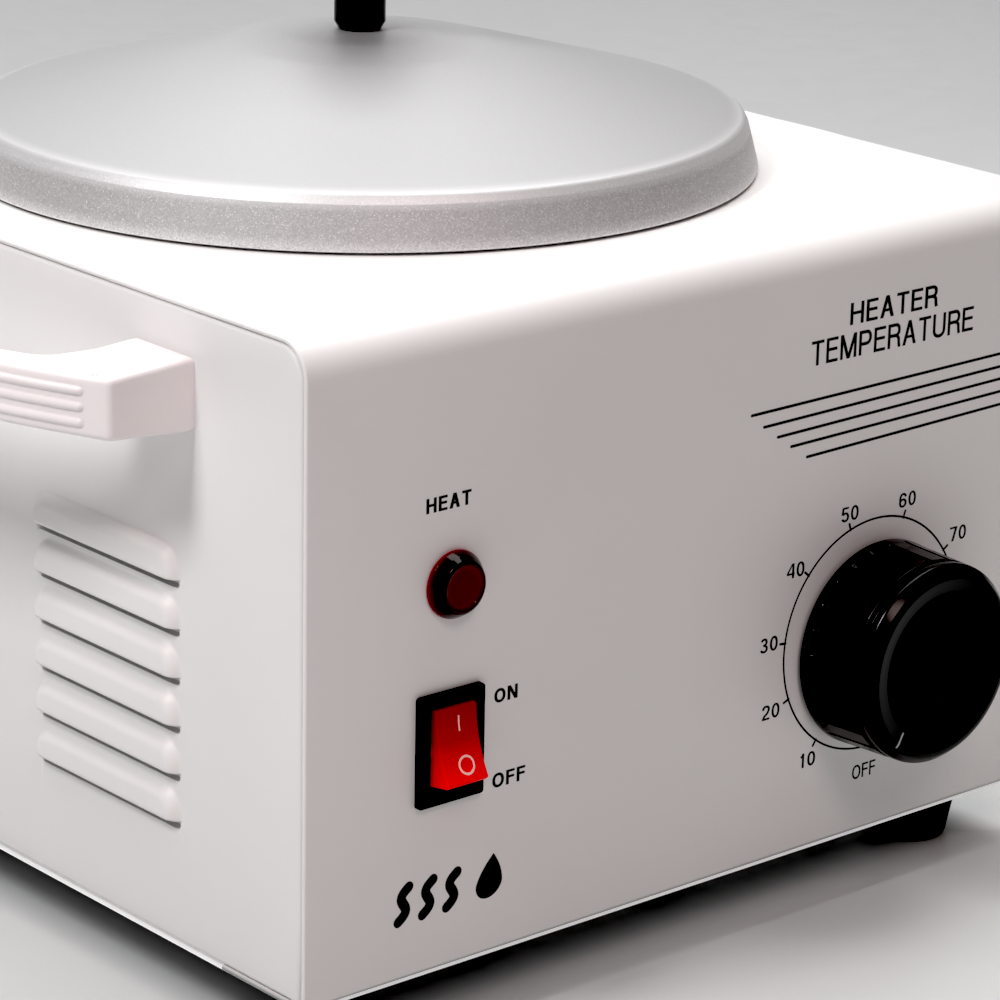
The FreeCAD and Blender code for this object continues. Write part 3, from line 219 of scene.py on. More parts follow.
# ---------------------------------------------------------------- materials
def enamel(name, color=(0.80, 0.787, 0.782), painted_hem_shade=0.72, painted_glow=0.0):
    """Orange-peel enamel, with a painted shade darkening the bottom edge by `painted_hem_shade`
    and a painted glow of strength `painted_glow`.
    """
    m = Material(name)
    clouds = m.noise(9.0, detail=4.0)
    fine = m.noise(210.0)
    peel = m.noise(650.0, detail=2.0, rough=0.55)
    grain = m.noise(3800.0, detail=1.0)
    coat = m.ramp(clouds, [(0.30, tint(color, 0.965)), (0.52, color), (0.75, tint(color, 1.025))])
    coat = m.mix(m.remap(fine, over=(0.60, 0.85), to=(0.0, 0.05)), coat, tint(color, 0.80))
    # painted shade along the bottom edge, where the sheet turns under
    shade = m.remap_mm(m.xyz()[2], over=(BASE + 0.35, BASE + 1.3), to=(painted_hem_shade, 0.0), smooth=True)
    coat = m.mix(shade, coat, tint(color, 0.16))
    skin = m.bump(peel, strength=0.12, distance=0.00010)
    return m.set(color=coat, rough=m.remap(fine, over=(0.3, 0.7), to=(0.36, 0.44)), spec=0.32,
                 normal=m.bump(grain, strength=0.04, distance=0.00004, under=skin),
                 emit=coat, emit_strength=painted_glow)


def moulded(name, color, rough, bump=0.12, scale=900.0, vary=0.06, coat=0.0, spec=0.5, sss=0.0,
            dust=0.0, dust_color=None):
    """Moulded plastic or rubber: flow marks, fine texture and a trace of handling marks."""
    m = Material(name)
    flow = m.noise(35.0, detail=4.0, rough=0.6, distortion=0.6)
    texture = m.noise(scale, rough=0.6)
    rub = m.noise(160.0, detail=5.0, rough=0.65)
    body = m.ramp(flow, [(0.3, tint(color, 1 - vary)), (0.7, tint(color, 1 + vary))])
    if dust:
        body = m.mix(m.remap(rub, over=(0.56, 0.82), to=(0.0, dust)), body, dust_color)
    uneven = m.add(m.remap(flow, over=(0.3, 0.7), to=rough),
                   m.remap(rub, over=(0.5, 0.8), to=(0.0, 0.08)))
    m.set(color=body, rough=uneven, spec=spec, coat=coat,
          normal=m.bump(texture, strength=bump, distance=0.00006))
    if sss:
        m.set(sss=sss, sss_scale=0.002)
        m.shader.inputs["Subsurface Radius"].default_value = (1.0, 0.75, 0.7)
    return m.data


def metal(name, color, rough, brush=None, tarnish=0.08):
    """Bare metal with cloudy tarnish and dark spots; `brush` stretches the fine grain."""
    m = Material(name)
    cloud = m.noise(60.0, detail=5.0, rough=0.6)
    fine = m.noise(1400.0, detail=2.0, stretch=brush)
    spots = m.noise(420.0, detail=4.0, rough=0.7)
    face = m.ramp(cloud, [(0.3, tint(color, 1 - tarnish)), (0.7, tint(color, 1 + tarnish * 0.6))])
    face = m.mix(m.remap(spots, over=(0.66, 0.8), to=(0.0, 0.35)), face, tint(color, 0.62))
    uneven = m.add(m.remap(fine, over=(0.3, 0.7), to=rough),
                   m.remap(cloud, over=(0.4, 0.7), to=(0.0, 0.06)))
    return m.set(color=face, rough=uneven, metal=1.0,
                 normal=m.bump(fine, strength=0.10, distance=0.00003))


def silver_paint():
    """Silver metallic finish with painted light. Its flakes show on the skirt and hardly at all on
    the cone. The cone is painted darker and the skirt lighter, for how each is lit, and painted
    highlights lie on the lower lip, the outer cone and the bevel.
    """
    # one finish in two painted tones: the cone darker, the skirt lighter, for how each is lit
    cone_shaded_tone, skirt_lit_tone = (0.385, 0.385, 0.393), (0.60, 0.59, 0.595)
    m = Material("lid_silver_painted_light")
    coarse = m.cells(3400.0)
    tiny = m.cells(6200.0)
    clouds = m.noise(11.0, detail=4.0)
    grain = m.noise(2600.0, detail=2.0, rough=0.6)
    flake = m.channels(coarse)
    glint = m.channels(tiny)
    z = m.xyz()[2]
    # 1 on the skirt, 0 on the cone
    skirt = m.remap_mm(z, over=(DECK + 9.4, DECK + 10.9), to=(1.0, 0.0), smooth=True)
    color = m.mix(skirt, cone_shaded_tone, skirt_lit_tone)
    cloudy = m.remap(clouds, over=(0.3, 0.7), to=(0.0, 0.12))
    color = m.mix(cloudy, color, (0.35, 0.35, 0.36))
    # painted highlight: the lower lip painted pale
    lip = m.remap_mm(z, over=(DECK + 0.2, DECK + 3.4), to=(0.95, 0.0), smooth=True)
    color = m.mix(lip, color, (0.92, 0.91, 0.92))
    # painted highlight: the outer part of the cone painted pale
    rim = m.radius(m.xyz()[0], m.xyz()[1])
    rim = m.times(m.remap_mm(rim, over=(79.5, 85.0), to=(0.0, 0.35), smooth=True),
                  m.remap(skirt, to=(1.0, 0.0)))
    color = m.mix(rim, color, (0.66, 0.66, 0.67))
    # dark flakes, then bright ones
    dark = m.times(m.remap(flake[0], to=(0.0, 0.44)), m.remap(skirt, to=(0.14, 1.0)))
    color = m.mix(dark, color, (0.34, 0.335, 0.34))
    bright = m.times(m.remap(glint[1], over=(0.88, 1.0), to=(0.0, 0.9)),
                     m.remap(skirt, to=(0.03, 1.0)))
    color = m.mix(bright, color, (0.93, 0.93, 0.94))
    # painted highlight: a pale band where the skirt meets the cone
    bevel_highlight = m.times(m.remap_mm(z, over=(DECK + 7.4, DECK + 8.9), to=(0.0, 0.45), smooth=True),
                   m.remap_mm(z, over=(DECK + 10.2, DECK + 11.6), to=(1.0, 0.0), smooth=True))
    color = m.mix(bevel_highlight, color, (0.86, 0.86, 0.87))
    relief = m.times(m.add(m.times(flake[1], 0.8), grain), m.remap(skirt, to=(0.12, 1.0)))
    rough = m.add(m.remap(flake[2], to=(0.42, 0.50)), m.remap(skirt, to=(0.0, 0.05)))
    return m.set(color=color, rough=rough, metal=m.remap(skirt, to=(0.34, 0.48)), spec=0.3,
                 normal=m.bump(relief, strength=0.16, distance=0.00010))


def lens_plastic():
    """Dark red lens, ringed round its centre, with a brighter foot at the panel. The dark ring,
    on the dome's sloping side, is painted shade.
    """
    m = Material("indicator_red_lens")
    place = m.xyz()
    radius = m.radius(m.math("SUBTRACT", place[0], LAMP_X / 1000),
                      m.math("SUBTRACT", place[2], LAMP_Z / 1000))
    out = m.remap_mm(place[1], over=(-HALF_DEPTH, -HALF_DEPTH - LAMP_OUT), to=(0.0, 1.0))
    # painted shade: the dark ring lies on the dome's sloping side
    rings = [(0.0, (0.046, 0.0004, 0.0010)), (0.48, (0.040, 0.0004, 0.0010)),
             (0.58, (0.060, 0.0008, 0.0020)), (0.66, (0.018, 0.0002, 0.0004)),
             (0.74, (0.0050, 0.0001, 0.0003)), (0.90, (0.006, 0.0002, 0.0006)),
             (1.0, (0.055, 0.001, 0.006))]
    core = m.ramp(m.remap_mm(radius, over=(0.0, 6.4), to=(0.0, 1.0)), rings)
    color = m.mix(m.remap(out, over=(0.0, 0.30), to=(0.70, 0.0)), core, (0.26, 0.002, 0.02))
    swirl = m.noise(700.0)
    return m.set(color=color, rough=m.remap(swirl, over=(0.3, 0.7), to=(0.07, 0.11)), spec=0.24,
                 normal=m.bump(swirl, strength=0.03, distance=0.00004),
                 emit=color, emit_strength=0.45)


def rocker_plastic():
    """Red plastic with painted light: its colour and a painted glow both grow brighter towards the
    foot of the rocker, for how the tilted rocker is lit.
    """
    m = Material("rocker_red_plastic")
    height = m.remap_mm(m.xyz()[2], over=(SWITCH_Z - 8, SWITCH_Z + 8), to=(0.0, 1.0))
    wobble = m.noise(240.0)
    level = m.add(height, m.remap(wobble, to=(-0.04, 0.04)))
    # painted light and shade: the colour runs lighter towards the foot and darker towards the top
    color = m.ramp(level, [(0.0, (0.90, 0.008, 0.002)), (0.25, (0.80, 0.003, 0.001)),
                           (0.48, (0.62, 0.001, 0.001)), (0.62, (0.46, 0.001, 0.0015)),
                           (1.0, (0.34, 0.001, 0.0015))])
    # painted glow, strongest at the foot
    painted_glow = m.ramp(level, [(0.0, (0.9, 0.004, 0.0)), (0.3, (0.42, 0.0, 0.0)),
                          (0.6, (0.12, 0.0, 0.0)), (1.0, (0.03, 0.0, 0.0))])
    grain = m.bump(m.noise(1500.0, detail=2.0), strength=0.05, distance=0.00004)
    return m.set(color=color, rough=m.remap(wobble, over=(0.3, 0.7), to=(0.30, 0.38)), spec=0.10,
                 normal=grain, emit=painted_glow, emit_strength=0.22)


def ink(name, color, rough=0.55):
    """Screen printed ink: not quite even in density."""
    m = Material(name)
    density = m.noise(900.0, detail=4.0, rough=0.7)
    film = m.ramp(density, [(0.35, color), (0.75, tuple(v + 0.018 for v in color))])
    return m.set(color=film, rough=rough, spec=0.3,
                 normal=m.bump(density, strength=0.08, distance=0.00003))


def turned_metal(name, color, rough):
    """Spun metal: fine rings round the vertical axis."""
    m = Material(name)
    place = m.xyz()
    combined = m.node("ShaderNodeCombineXYZ")
    m.feed(combined.inputs[0], m.radius(place[0], place[1]))
    m.feed(combined.inputs[1], place[2])
    rings = m.node("ShaderNodeTexNoise")
    m.feed(rings.inputs["Scale"], 2600.0)
    m.feed(rings.inputs["Detail"], 2.0)
    m.feed(rings.inputs["Vector"], combined.outputs[0])
    fine = rings.outputs["Fac"]
    cloud = m.noise(30.0, detail=4.0)
    return m.set(color=m.ramp(cloud, [(0.3, tint(color, 0.93)), (0.7, tint(color, 1.05))]),
                 metal=1.0, rough=m.remap(fine, over=(0.3, 0.7), to=rough),
                 normal=m.bump(fine, strength=0.15, distance=0.00003))


def cloth(name, color, second_color, scale=900.0):
    """Woven glass or pressed fibre."""
    m = Material(name)
    threads = []
    for direction in "XZ":
        wave = m.node("ShaderNodeTexWave", wave_type="BANDS", bands_direction=direction)
        m.feed(wave.inputs["Scale"], scale / 6)
        m.feed(wave.inputs["Distortion"], 1.2)
        m.feed(wave.inputs["Vector"], m.place)
        threads.append(wave.outputs["Fac"])
    weave = m.math("MAXIMUM", *threads)
    patches = m.remap(m.noise(120.0, detail=5.0), over=(0.3, 0.7), to=(0.0, 1.0))
    return m.set(color=m.mix(patches, color, second_color), rough=0.85, sheen=0.2,
                 normal=m.bump(weave, strength=0.4, distance=0.0002))


# by material slot
MATERIALS = {
    "white_enamel": enamel("white_enamel_coat"),
    "zinc_steel": metal("zinc_plate", (0.60, 0.61, 0.63), rough=(0.24, 0.38)),
    "foot_rubber": moulded(
        "foot_rubber_black", (0.0045, 0.0045, 0.0047), rough=(0.55, 0.70), bump=0.3,
        scale=1400.0, vary=0.15, spec=0.12, dust=0.03, dust_color=(0.06, 0.06, 0.06)),
    "white_plastic": moulded(
        "handle_white_plastic", (0.87, 0.815, 0.82), rough=(0.32, 0.40), bump=0.05,
        scale=1500.0, vary=0.015, spec=0.35, sss=0.06),
    "well_aluminium": turned_metal("well_spun_aluminium", (0.72, 0.73, 0.74), rough=(0.26, 0.42)),
    "fibre_gasket": cloth("gasket_fibre", (0.56, 0.54, 0.49), (0.64, 0.62, 0.57)),
    "mica_heater": metal("heater_jacket", (0.45, 0.44, 0.42), rough=(0.35, 0.5), brush=(1, 1, 12)),
    "glass_fibre": cloth("glass_fibre_cloth", (0.84, 0.82, 0.74), (0.78, 0.76, 0.68),
                         scale=1400.0),
    "lid_silver": silver_paint(),
    "black_phenolic": moulded("knob_black_phenolic", (0.0016, 0.0016, 0.0019),
                              rough=(0.16, 0.24), bump=0.04, vary=0.2, spec=0.12),
    "thermostat_case": moulded("thermostat_case_plastic", (0.05, 0.05, 0.053),
                               rough=(0.4, 0.5), bump=0.2),
    "dial_black": moulded("dial_black_plastic", (0.0012, 0.0012, 0.0014), rough=(0.17, 0.24),
                          bump=0.04, scale=1800.0, vary=0.2, spec=0.22),
    "switch_black": moulded("switch_black_nylon", (0.0013, 0.0013, 0.0013), rough=(0.34, 0.44),
                            bump=0.08, scale=2200.0, vary=0.2, spec=0.07),
    "rocker_red": rocker_plastic(),
    "tinned_brass": metal("tinned_brass_strip", (0.66, 0.60, 0.44), rough=(0.26, 0.40),
                          tarnish=0.14),
    "lens_red": lens_plastic(),
    "barrel_plastic": moulded("barrel_nylon", (0.78, 0.77, 0.73), rough=(0.4, 0.5), bump=0.1),
    "clear_glass": moulded("neon_glass", (0.60, 0.42, 0.36), rough=(0.06, 0.12), bump=0.02,
                           spec=0.6, coat=0.5),
    "copper_tube": metal("drawn_copper", (0.72, 0.38, 0.24), rough=(0.22, 0.36), tarnish=0.2),
    "fuse_ceramic": moulded("fuse_ceramic_glaze", (0.82, 0.79, 0.73), rough=(0.15, 0.25),
                            bump=0.05, coat=0.4),
    "block_plastic": moulded("terminal_nylon", (0.86, 0.85, 0.80), rough=(0.4, 0.5), bump=0.08,
                             sss=0.1),
    "wire_brown": moulded("wire_brown_pvc", (0.15, 0.06, 0.025), rough=(0.35, 0.45), bump=0.1),
    "wire_blue": moulded("wire_blue_pvc", (0.03, 0.10, 0.36), rough=(0.35, 0.45), bump=0.1),
    "wire_green": moulded("wire_green_pvc", (0.10, 0.36, 0.07), rough=(0.35, 0.45), bump=0.1),
    "cord_black": moulded("cord_black_pvc", (0.010, 0.010, 0.0105), rough=(0.38, 0.5),
                          bump=0.25, scale=1100.0, vary=0.15, dust=0.06,
                          dust_color=(0.15, 0.15, 0.15)),
}
PANEL_INK = ink("print_black_ink", (0.0035, 0.003, 0.0035))
SWITCH_INK = ink("switch_mark_ink", (1.0, 0.55, 0.50), rough=0.5)
POINTER_INK = ink("dial_pointer_ink", (0.45, 0.45, 0.46), rough=0.5)

slots = {part["node"]: part["material_slot"] for part in frame["record"]["subparts"]}
for node_name, piece in frame["nodes"].items():
    piece.data.materials.clear()
    piece.data.materials.append(MATERIALS[slots[node_name]])
# the base plate gets brighter enamel with a painted glow, so its edge shows as a bright line
frame["nodes"]["base_plate"].data.materials[0] = enamel(
    "base_plate_enamel", color=(0.90, 0.89, 0.89), painted_hem_shade=0.0, painted_glow=0.28)


# ---------------------------------------------------------------- mesh tools
def make(name, mesh, slot, stands_for=None, body="housing", angle=40.0, place=None, ink=None):
    """Object from (points in mm, faces). `place` maps local points into the scene."""
    points, faces = mesh
    points = np.asarray(points, float)
    if place is not None:
        points = place(points)
    data = bpy.data.meshes.new(name)
    data.from_pydata((points / 1000.0).tolist(), [], [tuple(int(i) for i in f) for f in faces])
    data.validate()
    data.update()
    data.polygons.foreach_set("use_smooth", [True] * len(data.polygons))
    data.set_sharp_from_angle(angle=math.radians(angle))
    data.materials.append(ink or MATERIALS[slot])
    obj = bpy.data.objects.new(name, data)
    SCENE.collection.objects.link(obj)
    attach(obj, body)
    if stands_for:
        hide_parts(stands_for)
    return obj


def on_front(x, z):
    """Maps local (x, up, out) to the front panel, where out is towards -Y."""
    return lambda v: np.c_[x + v[:, 0], -HALF_DEPTH - v[:, 2], z + v[:, 1]]


def corners(points, steps=6, closed=True):
    """Dense outline of a polygon given as (x, y, corner radius)."""
    spots = [np.array(point[:2], float) for point in points]
    outline = []
    for i, spot in enumerate(spots):
        radius = points[i][2]
        if not closed and i in (0, len(spots) - 1) or radius <= 0:
            outline.append(spot)
            continue
        back, ahead = spots[i - 1] - spot, spots[(i + 1) % len(spots)] - spot
        back_length, ahead_length = np.linalg.norm(back), np.linalg.norm(ahead)
        back, ahead = back / back_length, ahead / ahead_length
        half = math.acos(float(np.clip(back @ ahead, -1, 1))) / 2
        if half > math.pi / 2 - 0.01:               # almost straight on
            outline.append(spot)
            continue
        run = min(radius / math.tan(half), 0.49 * min(back_length, ahead_length))
        radius = run * math.tan(half)
        middle = (back + ahead) / np.linalg.norm(back + ahead)
        centre = spot + middle * (radius / math.sin(half))
        first, last = spot + back * run - centre, spot + ahead * run - centre
        start, end = math.atan2(first[1], first[0]), math.atan2(last[1], last[0])
        sweep = (end - start + math.pi) % (2 * math.pi) - math.pi
        for k in range(steps + 1):
            turn = start + sweep * k / steps
            outline.append(centre + radius * np.array([math.cos(turn), math.sin(turn)]))
    return np.array(outline)


def rectangle(x0, x1, y0, y1, radius, steps):
    return corners([(x0, y0, radius), (x1, y0, radius), (x1, y1, radius), (x0, y1, radius)], steps)


def circle(x, y, radius, count=64):
    turn = np.linspace(0, 2 * math.pi, count, endpoint=False)
    return np.c_[x + radius * np.cos(turn), y + radius * np.sin(turn)]


def densify(loop, step):
    """Splits each side of a closed loop into pieces of about `step`, one value or one a side."""
    dense = []
    for a, b, length in zip(loop, np.roll(loop, -1, 0), np.broadcast_to(step, len(loop))):
        k = max(1, int(np.linalg.norm(b - a) / length))
        dense += [a + (b - a) * i / k for i in range(k)]
    return np.array(dense)


def loop_area(loop):
    x, y = loop[:, 0], loop[:, 1]
    return 0.5 * float(np.sum(x * np.roll(y, -1) - np.roll(x, -1) * y))


def mitres(before, after):
    """Unit mitre left of travel between two edges, and its cosine to the first edge's normal."""
    before = before / np.linalg.norm(before, axis=1)[:, None]
    after = after / np.linalg.norm(after, axis=1)[:, None]
    normal = np.c_[-before[:, 1], before[:, 0]]
    mitre = normal + np.c_[-after[:, 1], after[:, 0]]
    mitre /= np.linalg.norm(mitre, axis=1)[:, None]
    return mitre, np.sum(mitre * normal, axis=1)


def inset(loop, distance):
    """Moves a closed loop into the material: left of its direction."""
    mitre, cosine = mitres(loop - np.roll(loop, 1, 0), np.roll(loop, -1, 0) - loop)
    stretch = 1.0 / np.maximum(0.6, cosine)
    return loop + mitre * (stretch * distance)[:, None]


def inside(points, loops):
    """Even and odd test of points against closed loops."""
    odd = np.zeros(len(points), bool)
    x, y = points[:, 0], points[:, 1]
    for loop in loops:
        for (x0, y0), (x1, y1) in zip(loop, np.roll(loop, -1, 0)):
            if y0 != y1:
                crosses = (y0 > y) != (y1 > y)
                odd ^= crosses & (x < (x1 - x0) * (y - y0) / (y1 - y0) + x0)
    return odd


def twice_area(points, triangles):
    a = points[triangles]
    return ((a[:, 1, 0] - a[:, 0, 0]) * (a[:, 2, 1] - a[:, 0, 1])
            - (a[:, 1, 1] - a[:, 0, 1]) * (a[:, 2, 0] - a[:, 0, 0]))


def vectors(points):
    return [Vector((float(p[0]), float(p[1]))) for p in points]


def loop_edges(loops):
    edges, start = [], 0
    for loop in loops:
        count = len(loop)
        edges += [(start + i, start + (i + 1) % count) for i in range(count)]
        start += count
    return edges


def fill(loops, extra=None, lines=()):
    """Triangles that fill closed loops. Returns points, which are those of the loops in order
    and then the extra ones, and triangles. `lines` are inner edges to keep."""
    points = [p for loop in loops for p in loop]
    edges = loop_edges(loops)
    if extra is not None:
        points += list(extra)
    result = delaunay_2d_cdt(vectors(points), edges + list(lines), [], 0, 1e-7)
    out = [np.array(p, float) for p in points]
    index = []
    for spot, origins in zip(result[0], result[3]):
        if origins:
            index.append(origins[0])
        else:
            index.append(len(out))
            out.append(np.array(spot[:], float))
    out = np.array(out)
    triangles = np.array([[index[k] for k in face] for face in result[2]])
    triangles = triangles[inside(out[triangles].mean(1), loops)]
    flipped = twice_area(out, triangles) < 0
    triangles[flipped] = triangles[flipped][:, ::-1]
    return out, triangles


def inner_grid(loops, pitch):
    """Grid points inside loops, clear of the outlines."""
    low, high = loops[0].min(0), loops[0].max(0)
    x, y = np.meshgrid(np.arange(low[0] + pitch / 2, high[0], pitch),
                       np.arange(low[1] + pitch / 2, high[1], pitch))
    points = np.c_[x.ravel(), y.ravel()]
    keep = inside(points, loops)
    for loop in loops:
        keep &= np.array([np.min(np.hypot(loop[:, 0] - p[0], loop[:, 1] - p[1])) > pitch * 0.35
                          for p in points])
    return points[keep]


def slab(loops, z0, z1, low_round=0.0, top_round=0.0, steps=3, rows=None, grid=None, warp=None,
         wall=None):
    """Solid between two levels with rounded edges. The first loop is the outline, the others
    are holes. `rows` are the wall levels, `grid` is the pitch of points added to the caps,
    wall(loop, z) is an outward push for wall points, and warp(points) bends the result."""
    loops = [np.asarray(loop, float) for loop in loops]
    loops = [loop if (loop_area(loop) > 0) == (k == 0) else loop[::-1]
             for k, loop in enumerate(loops)]
    levels = []                                     # (inset, z)
    if low_round > 0:
        levels += [(low_round * (1 - math.sin(t)), z0 + low_round * (1 - math.cos(t)))
                   for t in np.linspace(0, math.pi / 2, steps + 1)[:-1]]
    levels += [(0.0, z) for z in (rows if rows is not None else [z0 + low_round, z1 - top_round])]
    if top_round > 0:
        levels += [(top_round * (1 - math.cos(t)), z1 - top_round * (1 - math.sin(t)))
                   for t in np.linspace(0, math.pi / 2, steps + 1)[1:]]
    points, faces, rings = [], [], []               # a ring is a list of (first point, count)
    for distance, z in levels:
        ring = []
        for loop in loops:
            moved = inset(loop, distance) if distance > 0 else loop
            if wall is not None and distance == 0.0:
                moved = loop + (loop - inset(loop, 1.0)) * wall(loop, z)[:, None]
            ring.append((len(points), len(loop)))
            points += [(p[0], p[1], z) for p in moved]
        rings.append(ring)
    for lower, upper in zip(rings[:-1], rings[1:]):
        for (a, count), (b, _) in zip(lower, upper):
            for i in range(count):
                j = (i + 1) % count
                faces.append((a + i, a + j, b + j, b + i))
    for ring, z, up in ((rings[0], levels[0][1], False), (rings[-1], levels[-1][1], True)):
        cap = [np.array([points[start + i][:2] for i in range(count)]) for start, count in ring]
        ids = [start + i for start, count in ring for i in range(count)]
        flat, triangles = fill(cap, inner_grid(cap, grid) if grid else None)
        for p in flat[len(ids):]:
            ids.append(len(points))
            points.append((p[0], p[1], z))
        for triangle in triangles:
            face = tuple(ids[k] for k in triangle)
            faces.append(face if up else face[::-1])
    points = np.array(points, float)
    return (points if warp is None else warp(points)), faces


def lathe(profile, around, shape=None):
    """Closed solid of revolution about Z. The profile is (radius, z), from the lower axis point
    round to the upper one, or a closed ring off the axis. `around` is a count or the angles;
    shape(angles, radius, z) may vary the radius."""
    profile = np.asarray(profile, float)
    on_axis = profile[0][0] < 1e-6 and profile[-1][0] < 1e-6
    angles = around
    if np.isscalar(around):
        angles = np.linspace(0, 2 * math.pi, around, endpoint=False)
    count = len(angles)
    points, faces = [], []
    body = profile[1:-1] if on_axis else profile
    for radius, z in body:
        radii = np.full(count, radius) if shape is None else shape(angles, radius, z)
        points += list(np.c_[radii * np.cos(angles), radii * np.sin(angles), np.full(count, z)])
    rows = len(body)
    for k in range(rows - 1 if on_axis else rows):
        a, b = k * count, ((k + 1) % rows) * count
        for i in range(count):
            j = (i + 1) % count
            faces.append((a + i, a + j, b + j, b + i))
    if on_axis:
        low = len(points)
        points += [(0, 0, profile[0][1]), (0, 0, profile[-1][1])]
        last = (rows - 1) * count
        for i in range(count):
            j = (i + 1) % count
            faces.append((low, j, i))
            faces.append((low + 1, last + i, last + j))
    return np.array(points, float), faces


def merge(parts):
    points, faces, start = [], [], 0
    for part_points, part_faces in parts:
        points.append(np.asarray(part_points, float))
        faces += [tuple(int(i) + start for i in face) for face in part_faces]
        start += len(part_points)
    return np.vstack(points), faces


# ---------------------------------------------------------------- housing wrap
DECK_BEND, FOOT_BEND = 7.0, 1.7                     # outer bend radii
FLANGE = 24.0                                       # depth of the flanges under the housing
FLANGE_SCREW_X, FLANGE_SCREW_IN = 45.0, 14.0        # sideways, and in from the face


def wrap_section():
    """Outer line of the sheet in (y, z) from the front flange over the deck to the back one,
    with outward normals."""
    path, normals = [], []

    def straight(start, end, normal):
        path.extend((start, end))
        normals.extend((normal, normal))

    def bend(y, z, radius, start, end, steps):
        for i in range(1, steps):
            turn = math.radians(start + (end - start) * i / steps)
            path.append((y + radius * math.cos(turn), z + radius * math.sin(turn)))
            normals.append((math.cos(turn), math.sin(turn)))

    depth, low, high = HALF_DEPTH, BASE + FOOT_BEND, DECK - DECK_BEND
    straight((-depth + FLANGE, BASE), (-depth + FOOT_BEND, BASE), (0, -1))
    bend(-depth + FOOT_BEND, low, FOOT_BEND, -90, -180, 8)
    straight((-depth, low), (-depth, high), (-1, 0))
    bend(-depth + DECK_BEND, high, DECK_BEND, 180, 90, 18)
    straight((-depth + DECK_BEND, DECK), (depth - DECK_BEND, DECK), (0, 1))
    bend(depth - DECK_BEND, high, DECK_BEND, 90, 0, 18)
    straight((depth, high), (depth, low), (1, 0))
    bend(depth - FOOT_BEND, low, FOOT_BEND, 0, -90, 8)
    straight((depth - FOOT_BEND, BASE), (depth - FLANGE, BASE), (0, -1))
    return np.array(path), np.array(normals, float)


def build_wrap():
    """The sheet is filled flat as (x, run along the section), then bent."""
    path, normals = wrap_section()
    run = np.r_[0, np.cumsum(np.linalg.norm(np.diff(path, axis=0), axis=1))]
    length = run[-1]

    def run_at(y, z):
        return run[int(np.argmin(np.linalg.norm(path - np.array([y, z]), axis=1)))]

    front_start = run_at(-HALF_DEPTH, BASE + FOOT_BEND)
    deck_start = run_at(-HALF_DEPTH + DECK_BEND, DECK)
    back_start = run_at(HALF_DEPTH, DECK - DECK_BEND)

    def front(z):
        return front_start + z - (BASE + FOOT_BEND)

    edge_round = 0.45                               # how far the cut edges bulge sideways
    edge = HALF_WIDTH - edge_round
    stations = len(run)
    sheet = np.array([(-edge, 0), (edge, 0)] + [(edge, v) for v in run[1:-1]]
                     + [(edge, length), (-edge, length)] + [(-edge, v) for v in run[1:-1][::-1]])
    border = len(sheet)
    right = list(range(1, stations + 1))            # points up each long side, in run order
    left = [0] + list(range(border - 1, stations, -1))

    switch_lap = 0.9                                # the switch frame covers this much of the sheet
    half_w, half_h = SWITCH_WIDTH / 2 - switch_lap, SWITCH_HEIGHT / 2 - switch_lap
    relief_low, relief_high = box_mm("strain_relief")
    holes = [
        circle(0, deck_start + (HALF_DEPTH - DECK_BEND), 70.4, 160),           # well
        rectangle(SWITCH_X - half_w, SWITCH_X + half_w,
                  front(SWITCH_Z - half_h), front(SWITCH_Z + half_h), 0.6, 2),
        circle(LAMP_X, front(LAMP_Z), 5.1, 32),
        circle(DIAL_X, front(DIAL_Z), 5.0, 32),
        circle(DIAL_X - 14, front(DIAL_Z), 1.6, 16),
        circle(DIAL_X + 14, front(DIAL_Z), 1.6, 16),
        circle((relief_low[0] + relief_high[0]) / 2,
               back_start + (DECK - DECK_BEND) - (relief_low[2] + relief_high[2]) / 2, 7.6, 40),
    ]
    for side in (-1, 1):
        for x, inward, radius, count in (
                (FLANGE_SCREW_X, FLANGE_SCREW_IN, 1.5, 16),
                (FOOT_X, HALF_DEPTH - FOOT_Y, 2.2, 20)):
            holes.append(circle(side * x, FLANGE - inward, radius, count))
            holes.append(circle(side * x, length - (FLANGE - inward), radius, count))
    holes = [hole[::-1] for hole in holes]
    flat, triangles = fill([sheet] + holes, None, list(zip(right[1:-1], left[1:-1])))

    def bent(points, depth, x=None):
        """Flat points bent to the section, `depth` under the outer face."""
        y, z = (np.interp(points[:, 1], run, path[:, k]) for k in (0, 1))
        normal_y, normal_z = (np.interp(points[:, 1], run, normals[:, k]) for k in (0, 1))
        size = np.hypot(normal_y, normal_z)
        return np.c_[points[:, 0] if x is None else np.full(len(points), x),
                     y - normal_y / size * depth, z - normal_z / size * depth]

    points = [bent(flat, 0.0), bent(flat, SHEET)]
    count = len(flat)
    faces = [tuple(t) for t in triangles] + [tuple(t[::-1] + count) for t in triangles]
    for a, b in loop_edges([sheet] + holes)[border:]:
        faces.append((b, a, a + count, b + count))
    # long cut edges, rounded
    total = 2 * count
    for side, ids in ((1, right), (-1, left)):
        chain = [ids]
        for turn in np.linspace(0, math.pi, 7)[1:-1]:
            depth = SHEET / 2 - math.cos(turn) * SHEET / 2
            x = side * (edge + edge_round * math.sin(turn))
            points.append(bent(flat[ids], depth, x))
            chain.append(list(range(total, total + stations)))
            total += stations
        chain.append([i + count for i in ids])
        for a, b in zip(chain[:-1], chain[1:]):
            for i in range(stations - 1):
                face = (a[i], a[i + 1], b[i + 1], b[i])
                faces.append(face if side < 0 else face[::-1])
    # short cut edges of the flanges
    for a, b in ((0, 1), (stations, stations + 1)):
        faces.append((b, a, a + count, b + count))
    make("housing_sheet", (np.vstack(points), faces), "white_enamel", "housing_wrap", angle=35.0)


